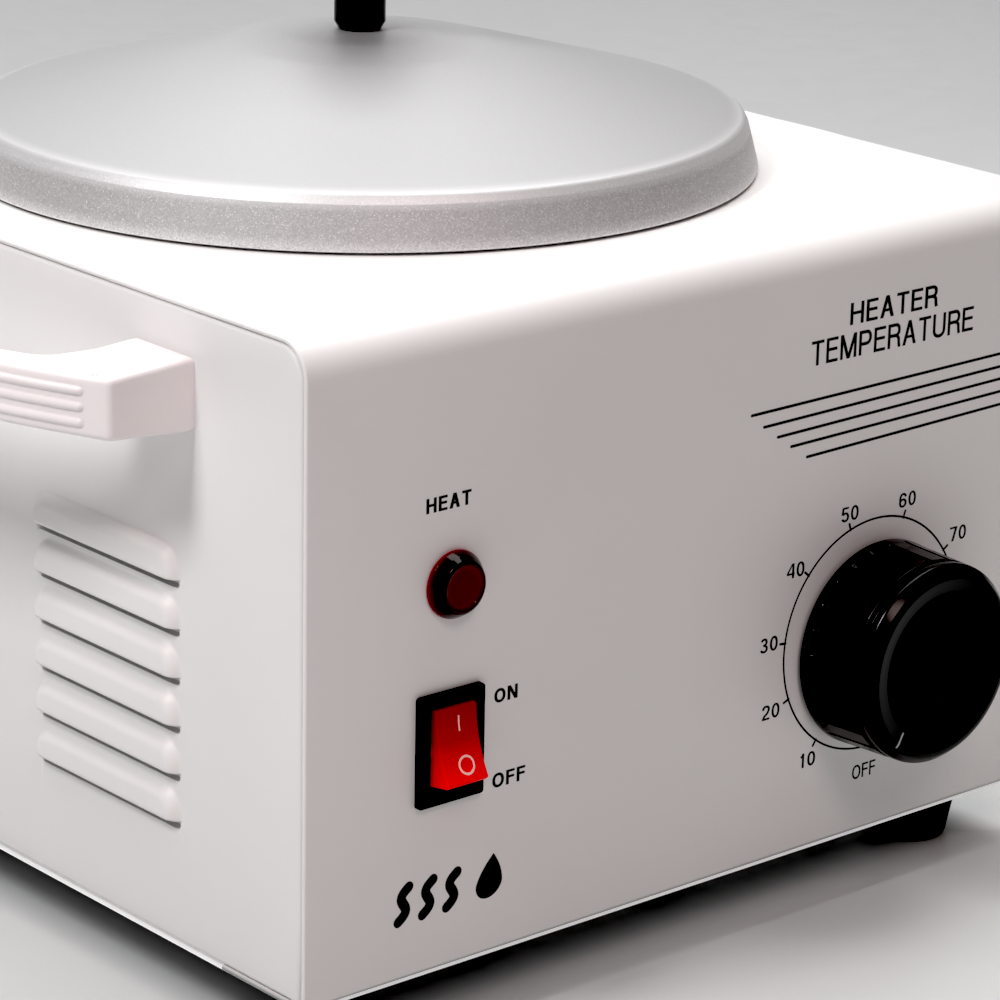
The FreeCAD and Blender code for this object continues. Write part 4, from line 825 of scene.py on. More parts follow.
# ---------------------------------------------------------------- side panels
LOUVER_LIPS = [83.85 - 9.19 * i for i in range(6)]  # z of the open lower edges
LOUVER_STARTS = (-68.1, 23.1)                       # y where the two columns begin
LOUVER_WIDTH, LOUVER_HEIGHT, LOUVER_CORNER = 45.0, 6.25, 5.0
LOUVER_OUT, LOUVER_BAND = 2.2, 2.5                  # stand-out, and width of the sloping border
PANEL_CORNER = 6.15                                 # top corners in the outline
PANEL_EDGE, PANEL_FLANGE = 1.0, 9.0                 # edge radius, depth of the turned flange
GRID_IN = 4.2                                       # the plain grid ends this far in
# rows inward from the grid's end, where the outline turns the corner
CORNER_ROWS = np.array([0.35, 0.7, 1.05, 1.4, 1.75, 1.94])


def louver_height(y, z):
    """How far the pressed louvers stand out at (y, z)."""
    height = np.zeros_like(y)
    for lip in LOUVER_LIPS:
        for start in LOUVER_STARTS:
            u, v = y - start, z - lip
            nearest_u = np.clip(u, LOUVER_CORNER, LOUVER_WIDTH - LOUVER_CORNER)
            nearest_v = np.minimum(v, LOUVER_HEIGHT - LOUVER_CORNER)
            depth = LOUVER_CORNER - np.hypot(u - nearest_u, v - nearest_v)
            ramp = np.clip(depth / LOUVER_BAND, 0, 1)
            slope = (1 - (1 - ramp) ** 2.0) * np.clip(ramp / 0.25, 0, 1) ** 0.7
            roll = np.sqrt(np.clip(1 - (1 - np.clip(v / 0.8, 0, 1)) ** 2, 0, 1))
            lean = 0.88 + 0.12 * np.clip(1 - v / LOUVER_HEIGHT, 0, 1)
            pressed = np.maximum(height, LOUVER_OUT * slope * (0.74 + 0.26 * roll) * lean)
            height = np.where((v >= -1e-6) & (depth > 0), pressed, height)
    return height


def stations(*groups):
    """Sorted grid positions, thinned where they lie close."""
    values = np.unique(np.round(np.concatenate(groups), 4))
    return values[np.r_[True, np.diff(values) > 0.12]]


def side_panel(name, side, node):
    """Panel as (y, z, out) with a slit under each louver lip. The side is -1 or 1 for -X or +X."""
    reach = HALF_DEPTH - SHEET - 0.12
    low, high = BASE + SHEET + 0.1, DECK - SHEET - 0.12
    grid_y, grid_top = reach - GRID_IN, high - GRID_IN
    across = np.r_[np.linspace(-0.8, 6.2, 19), np.linspace(7.5, 37.5, 14),
                   np.linspace(38.8, 45.8, 19)]
    upward = np.r_[0.0, 0.13, 0.27, 0.45, 0.8, np.linspace(1.3, 6.5, 17), -0.5, -1.25, -1.75]
    ys = stations(np.linspace(-reach + GRID_IN, grid_y, 12), -reach + GRID_IN + CORNER_ROWS,
                  grid_y - CORNER_ROWS, *(start + across for start in LOUVER_STARTS))
    zs = stations([low + GRID_IN, 30.0, 92.6, 98.0, 105.0, 111.0, 116.0, 122.0, grid_top],
                  grid_top - CORNER_ROWS, *(lip + upward for lip in LOUVER_LIPS))
    y_grid, z_grid = np.meshgrid(ys, zs)
    rows, columns = y_grid.shape
    height = louver_height(y_grid.ravel(), z_grid.ravel()).reshape(rows, columns)
    depth = height.copy()
    index = np.arange(rows * columns).reshape(rows, columns)
    below = index.copy()                            # a row's points as seen from the cells under it
    slit_points = []
    for lip in LOUVER_LIPS:
        k = int(np.argmin(abs(zs - round(lip, 4))))
        sink = -0.95 * np.clip((height[k] - 0.5) / 0.6, 0, 1)
        for drop in (0.5, 1.25):
            depth[int(np.argmin(abs(zs - round(lip - drop, 4))))] = sink
        for j in range(columns):
            if height[k, j] > 0.02:
                below[k, j] = rows * columns + len(slit_points)
                slit_points.append((ys[j], zs[k], sink[j]))
    points = list(zip(y_grid.ravel(), z_grid.ravel(), depth.ravel())) + slit_points
    faces = [(index[k, j], index[k, j + 1], below[k + 1, j + 1], below[k + 1, j])
             for k in range(rows - 1) for j in range(columns - 1)]
    border = np.concatenate([index[0, :-1], index[:-1, -1], index[-1, :0:-1], index[:0:-1, 0]])

    # the grid's border moved out to the panel's outline
    outline = []
    for y, z in (points[i][:2] for i in border):
        centre_y = np.clip(y, -reach + PANEL_CORNER, reach - PANEL_CORNER)
        centre_z = min(z, high - PANEL_CORNER)
        if abs(y - centre_y) > 1e-9 and abs(z - centre_z) > 1e-9:
            away = np.array([y - centre_y, z - centre_z])
            away = away / np.linalg.norm(away) * PANEL_CORNER
            outline.append(np.array([centre_y, centre_z]) + away)
            continue
        if abs(abs(y) - grid_y) < 1e-3:
            y = math.copysign(reach, y)
        if abs(z - (low + GRID_IN)) < 1e-3:
            z = low
        if abs(z - grid_top) < 1e-3:
            z = high
        outline.append(np.array([y, z], float))
    outline = np.array(outline)

    steps = [(PANEL_EDGE * (1 - math.sin(t)), -PANEL_EDGE * (1 - math.cos(t)))
             for t in np.linspace(0, math.pi / 2, 5)]
    previous = border
    for distance, out in steps + [(0.0, -PANEL_FLANGE)]:
        ids = list(range(len(points), len(points) + len(outline)))
        points += [(p[0], p[1], out) for p in inset(outline, distance)]
        for i in range(len(ids)):
            j = (i + 1) % len(ids)
            faces.append((previous[i], ids[i], ids[j], previous[j]))
        previous = ids
    points = np.array(points, float)
    placed = np.c_[side * (HALF_WIDTH + points[:, 2]), points[:, 0], points[:, 1]]
    if side < 0:
        faces = [face[::-1] for face in faces]
    obj = make(name, (placed, faces), "white_enamel", node, angle=48.0)
    solidify = obj.modifiers.new("sheet", "SOLIDIFY")
    solidify.thickness = 0.0009
    solidify.offset = -1.0
    solidify.use_even_offset = False


# ---------------------------------------------------------------- handles
handle_low, handle_high = box_mm("handle_left")
HANDLE_Z = (handle_low[2] + handle_high[2]) / 2
HANDLE_HALF = (handle_high[2] - handle_low[2]) / 2  # half height at the panel
LEG_Y = 62.6                                        # middle of each leg
HANDLE_ROUND = 1.2                                  # edge radius
RIBS = (-3.45, 0.0, 3.45)                           # heights of the ribs along the grip
RIB_HALF, RIB_OUT = 0.95, 0.62                      # half width and stand-out of a rib


def bow(y, middle, end, end_y):
    """Circular bow that reaches `middle` at y 0 and `end` at y = end_y."""
    radius = (end_y * end_y + (middle - end) ** 2) / (2 * (middle - end))
    return middle - radius + math.sqrt(max(radius * radius - y * y, 0.0))


def outer_bow(y):
    return bow(y, 34.0, 18.2, LEG_Y + 9.2)


def handle_outline():
    """Plan of the handle as (y, distance from the panel)."""
    top = [(y, outer_bow(y)) for y in np.linspace(LEG_Y + 7.2, -(LEG_Y + 7.2), 76)]
    grip_end = LEG_Y - 19.0
    under = [(y, bow(y, 26.3, 21.0, LEG_Y - 18.0)) for y in np.linspace(-grip_end, grip_end, 42)]
    leg_out = corners([(LEG_Y + 10.0, 0.0, 0.0), (LEG_Y + 9.75, 17.9, 1.5), (*top[0], 0.0)],
                      8, closed=False)[:-1]
    leg_in = corners([(-LEG_Y + 6.8, 0.0, 0.0), (-LEG_Y + 6.9, 9.5, 4.0),
                      (-LEG_Y + 9.6, 17.4, 6.5), (*under[0], 0.0)], 9, closed=False)[:-1]
    flip = np.array([-1, 1])
    loop = np.vstack([leg_out, np.array(top), (leg_out * flip)[::-1],
                      leg_in, np.array(under), (leg_in * flip)[::-1]])
    loop = loop[np.linalg.norm(np.roll(loop, -1, 0) - loop, axis=1) > 0.05]
    if loop_area(loop) < 0:
        loop = loop[::-1]
    y = abs(loop[:, 0])
    near_rib_end = (LEG_Y + 1.5 < y) & (y < LEG_Y + 8.0) & (loop[:, 1] > 17.0)
    return densify(loop, np.where(near_rib_end, 0.3, 1.6))


def rib_push(loop, z):
    """Stand-out of the ribs on the outer face."""
    y, x = loop[:, 0], loop[:, 1]
    outer = np.array([abs(yy) < LEG_Y + 8 and xx > outer_bow(yy) - 0.6 for yy, xx in zip(y, x)])
    push = np.zeros(len(loop))
    past_end = np.maximum(np.abs(y) - (LEG_Y + 4.1), 0.0)
    for rib in RIBS:
        away = np.hypot(z - rib, past_end)
        push = np.maximum(push, RIB_OUT * np.clip(1 - (away / RIB_HALF) ** 2, 0, 1) ** 0.7)
    return np.where(outer, push, 0.0)


def handle_taper(points):
    """Lowers the handle away from the panel. Ribs and rounded edges keep their size."""
    half_here = HANDLE_HALF - 1.25 * np.clip((points[:, 1] - 2.0) / 18.0, 0, 1) ** 0.9
    z = points[:, 2]
    core = HANDLE_HALF - HANDLE_ROUND - 0.6
    squeeze = np.minimum(1.0, (half_here - HANDLE_ROUND - 0.2) / core)
    height = np.where(np.abs(z) > core, np.abs(z) - (HANDLE_HALF - half_here),
                      np.abs(z) * squeeze)
    return np.c_[points[:, 0], points[:, 1], np.sign(z) * height]


def handle(name, side, node):
    across_rib = RIB_HALF * np.array([-0.98, -0.85, -0.6, -0.3, 0, 0.3, 0.6, 0.85, 0.98])
    rows = [-HANDLE_HALF + HANDLE_ROUND, HANDLE_HALF - HANDLE_ROUND]
    for rib in RIBS:
        rows += [rib - 1.3, rib - 1.05, *(rib + across_rib), rib + 1.05, rib + 1.3]
    points, faces = slab([handle_outline()], -HANDLE_HALF, HANDLE_HALF, HANDLE_ROUND,
                         HANDLE_ROUND, steps=5, rows=sorted(rows), grid=2.2,
                         warp=handle_taper, wall=rib_push)
    placed = np.c_[side * (HALF_WIDTH + points[:, 1]), points[:, 0], HANDLE_Z + points[:, 2]]
    if side > 0:                                    # here the swap of x and y mirrors the plan
        faces = [face[::-1] for face in faces]
    make(name, (placed, faces), "white_plastic", node, angle=50.0)


# ---------------------------------------------------------------- lid
# Profiles from here on are (radius, height, corner radius).
def build_lid():
    low, high = box_mm("lid")
    rim, top, foot = high[0], high[2], low[2] + 0.55
    ceiling = top - 1.2                             # inner face at the axis
    outer = corners([
        (rim - 0.9, foot, 0.0), (rim - 0.05, foot, 0.35), (rim, foot + 0.5, 0.6),
        (rim - 2.1, DECK + 9.0, 0.9), (rim - 3.1, DECK + 10.75, 1.6), (72.0, DECK + 11.9, 9.0),
        (62.0, DECK + 14.5, 20.0), (50.0, top - 8.4, 60.0), (38.0, top - 5.25, 60.0),
        (26.0, top - 2.25, 30.0), (15.0, top - 0.55, 20.0), (7.0, top - 0.05, 10.0),
        (0.0, top, 0.0)], 8, closed=False)
    inner = corners([
        (0.0, ceiling, 0.0), (7.0, ceiling - 0.05, 10.0), (15.0, ceiling - 0.6, 20.0),
        (26.0, ceiling - 2.35, 30.0), (38.0, ceiling - 5.35, 60.0), (50.0, ceiling - 8.5, 60.0),
        (62.0, ceiling - 11.75, 20.0), (rim - 3.6, DECK + 9.45, 1.0),
        (rim - 2.1 - 1.25, DECK + 8.7, 0.8), (rim - 1.25, foot + 0.25, 0.0),
        (rim - 0.9, foot, 0.0)], 5, closed=False)
    make("lid_shell", lathe(np.vstack([inner, outer[1:]]), 224), "lid_silver", "lid",
         body="lid", angle=44.0)


def build_knob():
    low, high = box_mm("lid_knob")
    foot, top, radius = low[2], high[2], high[0]
    neck = 5.1
    profile = corners([
        (0.0, foot, 0), (neck - 0.9, foot, 0.25), (neck, foot + 1.5, 0.9), (neck, top - 21.0, 6),
        (neck + 0.5, top - 18.5, 6), (neck + 2.3, top - 15.6, 5), (radius - 3.6, top - 13.0, 5),
        (radius - 0.6, top - 10.6, 3.2), (radius, top - 7.4, 5.0),
        (radius * 0.955, top - 4.6, 5), (radius * 0.76, top - 1.9, 6),
        (radius * 0.42, top - 0.35, 12), (0.0, top, 0)], 7, closed=False)
    make("lid_knob_grip", lathe(profile, 96), "black_phenolic", "lid_knob", body="lid",
         angle=45.0)


# ---------------------------------------------------------------- dial
DIAL_GAP = 0.7                                      # clear of the panel
CAP_R = DIAL_R - 0.7
FLUTES = 26
FLUTE_STEP = 2 * math.pi / FLUTES
# angles across one flute, in degrees for a 15 degree step
FLUTE_ANGLES = [-7.4, -6.4, -5.2, -4.0, -2.9, -2.2, -1.75, -1.4, -1.0, -0.5, 0.0,
                0.5, 1.0, 1.4, 1.75, 2.2, 2.9, 4.0, 5.2, 6.4]


def fluted(angles, radius, z):
    """Flats with a groove in the middle of each, fading at the ends of the skirt."""
    if radius < DIAL_R - 1.6 or z < DIAL_GAP + 1.5 or z > DIAL_OUT - 4.7:
        return np.full(len(angles), radius)
    off = np.abs((angles + FLUTE_STEP * 50) % FLUTE_STEP - FLUTE_STEP / 2)
    flat = radius * math.cos(FLUTE_STEP / 2) / np.cos(off - FLUTE_STEP / 2)
    flat = np.maximum(flat, radius * 0.990)
    groove = 0.72 * np.clip(1.0 - (off / math.radians(1.5)) ** 2, 0, 1) ** 0.6
    fade = (np.clip((z - DIAL_GAP - 1.8) / 1.6, 0, 1)
            * np.clip((DIAL_OUT - 4.75 - z) / 0.7, 0, 1))
    fade = fade * fade * (3 - 2 * fade)
    return radius + (np.minimum(flat, radius) - radius) * fade * 0.9 - groove * fade


def build_dial():
    gap, out, skirt, cap = DIAL_GAP, DIAL_OUT, DIAL_R, CAP_R
    profile = corners([
        (0.0, gap + 2.0, 0), (skirt - 3.2, gap + 2.0, 0.0), (skirt - 2.8, gap, 0.3),
        (skirt - 0.35, gap, 0.3), (skirt, gap + 0.5, 0.4), (skirt - 0.12, gap + 2.6, 0.5),
        (cap + 0.15, out - 5.3, 0.4), (cap - 0.05, out - 4.55, 0.35),
        (cap - 0.95, out - 4.35, 0.25), (cap - 0.95, out - 3.75, 0.25),
        (cap - 0.10, out - 3.55, 0.3), (cap, out - 3.0, 0.6), (cap - 0.05, out - 1.9, 1.2),
        (cap - 1.5, out - 0.15, 1.3), (cap - 2.6, out, 0.5), (cap - 4.1, out - 0.28, 0.6),
        (cap - 5.2, out - 0.45, 0.6), (cap * 0.5, out - 0.52, 8.0), (0.0, out - 0.55, 0)],
        6, closed=False)
    # more rows along the skirt, so that the flutes start and end softly
    rows = []
    for a, b in zip(profile[:-1], profile[1:]):
        rows.append(a)
        if a[0] > skirt - 1.3 and gap < a[1] < out - 4.6:
            k = int(abs(b[1] - a[1]) / 0.45)
            rows += [a + (b - a) * i / k for i in range(1, k)]
    rows.append(profile[-1])
    offsets = np.radians(FLUTE_ANGLES) * (FLUTE_STEP / math.radians(15.0))
    angles = np.sort(np.concatenate([FLUTE_STEP * (k + 0.5) + offsets for k in range(FLUTES)]))
    make("dial_cap", lathe(rows, angles, fluted), "dial_black", "dial_knob", body="dial",
         angle=42.0, place=on_front(DIAL_X, DIAL_Z))


def build_pointer():
    """Printed bar in the shallow dish of the cap, towards the foot of the dial."""
    bar = rectangle(-0.20, 0.20, -(CAP_R - 1.7), -(CAP_R - 5.0), 0.12, 3)
    turn = math.radians(-40.0)
    bar = bar @ np.array([[math.cos(turn), math.sin(turn)], [-math.sin(turn), math.cos(turn)]])

    def on_dish(p):
        radius = np.hypot(p[:, 0], p[:, 1])
        surface = np.interp(radius, [CAP_R - 5.2, CAP_R - 4.1, CAP_R - 2.6, CAP_R - 1.5],
                            [DIAL_OUT - 0.45, DIAL_OUT - 0.28, DIAL_OUT, DIAL_OUT - 0.15])
        return np.c_[p[:, 0], p[:, 1], surface + p[:, 2]]

    mesh = slab([densify(bar, 0.35)], -0.05, 0.05, top_round=0.02, steps=1, grid=0.4,
                warp=on_dish)
    make("dial_pointer_mark", mesh, "dial_black", body="dial", ink=POINTER_INK,
         place=on_front(DIAL_X, DIAL_Z))


# ---------------------------------------------------------------- switch
TILT = math.radians(16.0)                           # the rocker's top end is pressed in
# side view of the level rocker: (out, up, corner radius)
ROCKER_OUTLINE = [
    (4.15, 6.85, 0.45), (3.5, 3.6, 6.0), (3.28, 0.6, 3.5), (3.28, -0.6, 3.5), (3.5, -3.6, 6.0),
    (4.15, -6.85, 0.45), (3.2, -7.2, 0.5), (-1.5, -6.6, 1.0), (-5.0, -3.2, 2.0),
    (-6.3, 0.0, 2.0), (-5.0, 3.2, 2.0), (-1.5, 6.6, 1.0), (3.2, 7.2, 0.5)]
# front face of the level rocker under its marks: (out, up)
ROCKER_FACE = [(4.15, 6.85), (3.5, 3.6), (3.30, 0.8), (3.28, 0.0), (3.30, -0.8), (3.5, -3.6),
               (4.15, -6.85)]


def tilted(out, up):
    """(up, out) of a rocker point once the rocker is tilted."""
    return (up * math.cos(TILT) + out * math.sin(TILT), out * math.cos(TILT) - up * math.sin(TILT))


def build_switch():
    half_w, half_h = SWITCH_WIDTH / 2, SWITCH_HEIGHT / 2
    outer = rectangle(-half_w, half_w, -half_h, half_h, 0.7, 6)
    hole = rectangle(-5.15 + 0.3, 5.15, -8.25, 8.25, 0.5, 4)
    can = rectangle(-half_w + 1.0, half_w - 1.0, -half_h + 1.0, half_h - 1.0, 0.6, 3)
    bezel = slab([outer, hole], 0.02, SWITCH_OUT, top_round=0.42, steps=4)
    tub = slab([can, hole * 0.999], -12.0, 0.02)
    tub_floor = slab([can], -15.0, -12.0)
    make("switch_frame", merge([bezel, tub, tub_floor]), "switch_black", "switch_housing",
         place=on_front(SWITCH_X, SWITCH_Z))


def build_rocker():
    profile = corners([(*tilted(out, up), radius) for out, up, radius in ROCKER_OUTLINE], 5)
    half = 4.82
    button = slab([profile], -half + 0.35, half, 0.28, 0.28)
    pin = slab([circle(0, 0, 1.2, 24)], -5.5, 5.5, 0.2, 0.2, steps=2)
    points, faces = merge([button, pin])
    across_up_out = np.c_[points[:, 2], points[:, 0], points[:, 1]]
    make("rocker_button", (across_up_out, faces), "rocker_red", "switch_rocker", body="rocker",
         angle=38.0, place=on_front(SWITCH_X, SWITCH_Z))


def build_rocker_marks():
    """A bar on the upper half and a ring on the lower half."""
    heights, outs = zip(*[tilted(out, up) for out, up in ROCKER_FACE])

    def on_face(p):
        return np.c_[p[:, 0], p[:, 1], np.interp(p[:, 1], heights[::-1], outs[::-1]) + p[:, 2]]

    bar = densify(rectangle(0.32, 0.68, 3.3, 6.2, 0.1, 2), 0.3)
    ring_x = 0.75
    ring = []
    for radius, widen in ((1.68, 1.08), (1.26, 1.10)):
        loop = circle(ring_x, -2.6, radius, 48)
        loop[:, 0] = ring_x + (loop[:, 0] - ring_x) * widen
        ring.append(loop)
    marks = [slab(loops, -0.04, 0.03, grid=0.4, warp=on_face) for loops in ([bar], ring)]
    make("rocker_marks", merge(marks), "rocker_red", body="rocker", ink=SWITCH_INK,
         place=on_front(SWITCH_X, SWITCH_Z))


# ---------------------------------------------------------------- indicator lamp and feet
def build_lamp():
    radius, out = LAMP_R, LAMP_OUT
    profile = corners([
        (0.0, 0.02, 0), (radius - 0.2, 0.02, 0.1), (radius, 0.35, 0.25),
        (radius - 0.12, 0.95, 0.6), (radius - 0.75, out - 1.35, 1.4),
        (radius - 1.45, out - 0.3, 0.9), (radius - 1.95, out, 0.4),
        (radius - 2.3, out - 0.12, 0.2), (radius - 2.65, out - 0.42, 0.25),
        (radius * 0.30, out - 0.32, 2.0), (0.0, out - 0.28, 0)], 7, closed=False)
    make("indicator_cap", lathe(profile, 96), "lens_red", "indicator_lens", angle=42.0,
         place=on_front(LAMP_X, LAMP_Z))


def build_feet():
    top, foot = FEET_HIGH[2], 7.6                   # height, and radius at the floor
    profile = corners([
        (2.3, 6.0, 0), (5.6, 6.0, 0.2), (5.6, 0.3, 0.3), (5.9, 0.0, 0.2), (foot - 0.5, 0.0, 0.6),
        (foot, 0.9, 0.8), (FOOT_R - 0.25, top - 1.6, 0.8), (FOOT_R, top - 0.9, 0.5),
        (FOOT_R - 0.5, top, 0.4), (2.3, top, 0)], 5)
    points, faces = lathe(profile, 72)
    feet = [(points + np.array([x, y, 0]), faces)
            for x in (-FOOT_X, FOOT_X) for y in (-FOOT_Y, FOOT_Y)]
    make("feet_rubber", merge(feet), "foot_rubber", "rubber_feet", angle=42.0)


# ---------------------------------------------------------------- lettering
PRINT_OUT, PRINT_IN = 0.03, -0.01                   # outer and inner face of the ink


def bowl(x, y, radius_x, radius_y, start, end, steps=None):
    """Points of a slightly squarish arc, in degrees."""
    steps = steps or max(6, int(abs(end - start) / 12))
    turn = np.radians(np.linspace(start, end, steps + 1))
    square = 0.92
    return [(x + radius_x * np.sign(u) * abs(u) ** square,
             y + radius_y * np.sign(v) * abs(v) ** square)
            for u, v in zip(np.cos(turn), np.sin(turn))]


def stroke(points, width):
    """Closed outlines of a line with square ends; a closed line gives two, for a ring."""
    line = np.array(points, float)
    line = line[np.r_[True, np.linalg.norm(np.diff(line, axis=0), axis=1) > 1e-6]]
    ring = np.linalg.norm(line[0] - line[-1]) < 1e-6
    if ring:
        line = line[:-1]
        before, after = line - np.roll(line, 1, 0), np.roll(line, -1, 0) - line
    else:
        edges = line[1:] - line[:-1]
        before, after = np.vstack([edges[:1], edges]), np.vstack([edges, edges[-1:]])
    mitre, cosine = mitres(before, after)
    mitre = mitre / np.maximum(0.5, cosine)[:, None]
    left, right = line + mitre * width / 2, line - mitre * width / 2
    return [left, right] if ring else [np.vstack([left, right[::-1]])]


def alphabet(thick):
    """Plain upright sans letters of height 1 with strokes of width `thick`, as
    {letter: (width, shapes)}. A shape is a list of closed outlines."""
    half = thick / 2
    slant = thick * 1.12                            # level width of a slanting stem
    flat = thick * 0.9                              # height of a level bar
    peak = 0.36 - slant / 2                         # left end of the top of the A

    def solid(*points):
        return [np.array(points, float)]

    def bar(x0, y0, x1, y1):
        return solid((x0, y0), (x1, y0), (x1, y1), (x0, y1))

    def line(*points):
        return stroke(points, thick)

    def ring(x, y, radius_x, radius_y, steps):
        return line(*bowl(x, y, radius_x - half, radius_y - half, 90, 450, steps))

    def arms(width):
        return [stem, bar(half, 1 - flat, width, 1),
                bar(half, 0.53 - half * 0.9, width * 0.94, 0.53 + half * 0.9)]

    def head(waist):
        """Closed upper half of a P or an R, down to the waist."""
        radius = (1 - waist) / 2
        return line((half, 1 - half), (0.66 - radius, 1 - half),
                    *bowl(0.66 - radius, 1 - radius - half * 0.5, radius - half,
                          radius - half * 0.5, 90, -90), (half, waist))

    stem = bar(0, 0, thick, 1)
    return {
        "H": (0.70, [stem, bar(0.70 - thick, 0, 0.70, 1),
                     bar(half, 0.52 - half * 0.9, 0.70 - half, 0.52 + half * 0.9)]),
        "E": (0.60, arms(0.60) + [bar(half, 0, 0.60, flat)]),
        "F": (0.56, arms(0.56)),
        "A": (0.72, [solid((0, 0), (slant, 0), (peak + slant, 1), (peak, 1)),
                     solid((0.72 - slant, 0), (0.72, 0), (0.36 + slant / 2, 1), (peak, 1)),
                     bar(0.13, 0.27, 0.59, 0.27 + thick * 0.85)]),
        "T": (0.64, [bar(0, 1 - flat, 0.64, 1), bar(0.32 - half, 0, 0.32 + half, 0.97)]),
        "N": (0.70, [stem, bar(0.70 - thick, 0, 0.70, 1),
                     solid((0.70 - slant, 0), (0.70, 0), (slant, 1), (0, 1))]),
        "M": (0.84, [stem, bar(0.84 - thick, 0, 0.84, 1),
                     solid((0.42 - slant / 2, 0), (0.42 + slant / 2, 0), (slant, 1), (0, 1)),
                     solid((0.42 - slant / 2, 0), (0.42 + slant / 2, 0), (0.84, 1),
                           (0.84 - slant, 1))]),
        "U": (0.68, [line((half, 1), (half, 0.34),
                          *bowl(0.34, 0.34, 0.34 - half, 0.34 - half, 180, 360),
                          (0.68 - half, 1))]),
        "O": (0.77, [ring(0.385, 0.5, 0.385, 0.5, 44)]),
        "P": (0.66, [stem, head(0.45)]),
        "R": (0.66, [stem, head(0.50), line((0.36, 0.50), (0.50, 0.47), (0.575, 0.37),
                                            (0.59, 0.16), (0.625, 0.0))]),
        "0": (0.54, [ring(0.27, 0.5, 0.27, 0.5, 40)]),
        "1": (0.44, [bar(0.27 - half, 0, 0.27 + half, 1),
                     line((0.10, 0.76), (0.20, 0.79), (0.27, 0.94))]),
        "2": (0.54, [line((half, 0.70), *bowl(0.27, 0.72, 0.27 - half, 0.28 - half, 165, -25),
                          (0.36, 0.44), (0.16, 0.26), (half + 0.02, 0.06)),
                     bar(0.01, 0, 0.53, flat)]),
        "3": (0.54, [line(*bowl(0.265, 0.735, 0.235 - half, 0.265 - half, 165, -80)),
                     line(*bowl(0.265, 0.28, 0.265 - half, 0.28 - half, 80, -165)),
                     line((0.20, 0.52), (0.30, 0.52))]),
        "4": (0.54, [bar(0.36, 0, 0.36 + thick, 1), bar(0.0, 0.24, 0.54, 0.24 + flat),
                     solid((0.0, 0.24), (thick * 0.6, 0.24 + thick * 0.5),
                           (0.36 + thick * 0.6, 1.0), (0.36 - thick * 0.1, 1.0),
                           (0, 0.24 + thick))]),
        "5": (0.54, [bar(0.10, 1 - flat, 0.50, 1), line((0.13, 0.97), (0.075, 0.50)),
                     line((0.085, 0.50),
                          *bowl(0.265, 0.33, 0.275 - half, 0.33 - half, 135, -160))]),
        "6": (0.54, [ring(0.27, 0.31, 0.27, 0.31, 36),
                     line((half, 0.31), (half, 0.50),
                          *bowl(0.28, 0.56, 0.28 - half, 0.44 - half, 180, 25))]),
        "7": (0.54, [bar(0.0, 1 - flat, 0.54, 1),
                     solid((0.14, 0), (0.14 + slant, 0), (0.54, 1 - thick * 0.4), (0.54, 1),
                           (0.54 - slant, 1 - thick * 0.5))]),
        "8": (0.54, [ring(0.27, 0.755, 0.235, 0.245, 34), ring(0.27, 0.275, 0.27, 0.275, 36),
                     line((0.2, 0.525), (0.34, 0.525))]),
        "9": (0.54, [ring(0.27, 0.69, 0.27, 0.31, 36),
                     line((0.54 - half, 0.69), (0.54 - half, 0.50),
                          *bowl(0.26, 0.44, 0.28 - half, 0.44 - half, 0, -155))]),
    }


def text_mesh(word, x0, x1, z0, z1, thick):
    """Lettering as thin closed solids that fills the box x0..x1, z0..z1."""
    height = z1 - z0
    gap = 0.10 + 0.22 * thick / height
    letters = alphabet(thick / height)
    shapes, start = [], 0.0
    for letter in word:
        width, parts = letters[letter]
        shapes += [[outline + np.array([start, 0.0]) for outline in part] for part in parts]
        start += width + gap
    scale = np.array([(x1 - x0) / (start - gap), height])
    shapes = [[np.array([x0, z0]) + outline * scale for outline in part] for part in shapes]
    outlines = [outline for part in shapes for outline in part]
    result = delaunay_2d_cdt(vectors(np.vstack(outlines)), loop_edges(outlines), [], 0, 1e-6)
    flat = np.array([p[:] for p in result[0]], float)
    triangles = np.array([list(face) for face in result[2] if len(face) == 3])
    centres = flat[triangles].mean(1)
    keep = np.zeros(len(triangles), bool)
    for part in shapes:
        keep |= inside(centres, part)
    triangles = triangles[keep]
    areas = twice_area(flat, triangles)
    triangles, areas = triangles[np.abs(areas) > 1e-9], areas[np.abs(areas) > 1e-9]
    triangles[areas < 0] = triangles[areas < 0][:, ::-1]
    count = len(flat)
    points = np.vstack([np.c_[flat, np.full(count, z)] for z in (PRINT_OUT, PRINT_IN)])
    faces = [tuple(t) for t in triangles] + [tuple(t[::-1] + count) for t in triangles]
    # walls stand on the edges that only one triangle uses
    edges = dict.fromkeys((t[i], t[(i + 1) % 3]) for t in triangles for i in range(3))
    faces += [(i, i + count, j + count, j) for i, j in edges if (j, i) not in edges]
    used = np.unique(np.concatenate([np.array(face) for face in faces]))
    renumbered = np.full(2 * count, -1)
    renumbered[used] = np.arange(len(used))
    return points[used], [tuple(int(renumbered[i]) for i in face) for face in faces]


def ribbon(points, width, out=PRINT_OUT):
    """Printed line with round ends."""
    line = np.array(points, float)
    along = np.gradient(line, axis=0)
    along /= np.linalg.norm(along, axis=1)[:, None]
    normal = np.c_[-along[:, 1], along[:, 0]]

    def cap(centre, toward):
        start = math.atan2(toward[1], toward[0])
        return [centre + width / 2 * np.array([math.cos(start - t), math.sin(start - t)])
                for t in np.linspace(0, math.pi, 7)[1:-1]]

    left, right = line + normal * width / 2, line - normal * width / 2
    outline = np.vstack([left, cap(line[-1], normal[-1]), right[::-1], cap(line[0], -normal[0])])
    return slab([outline], PRINT_IN, out)


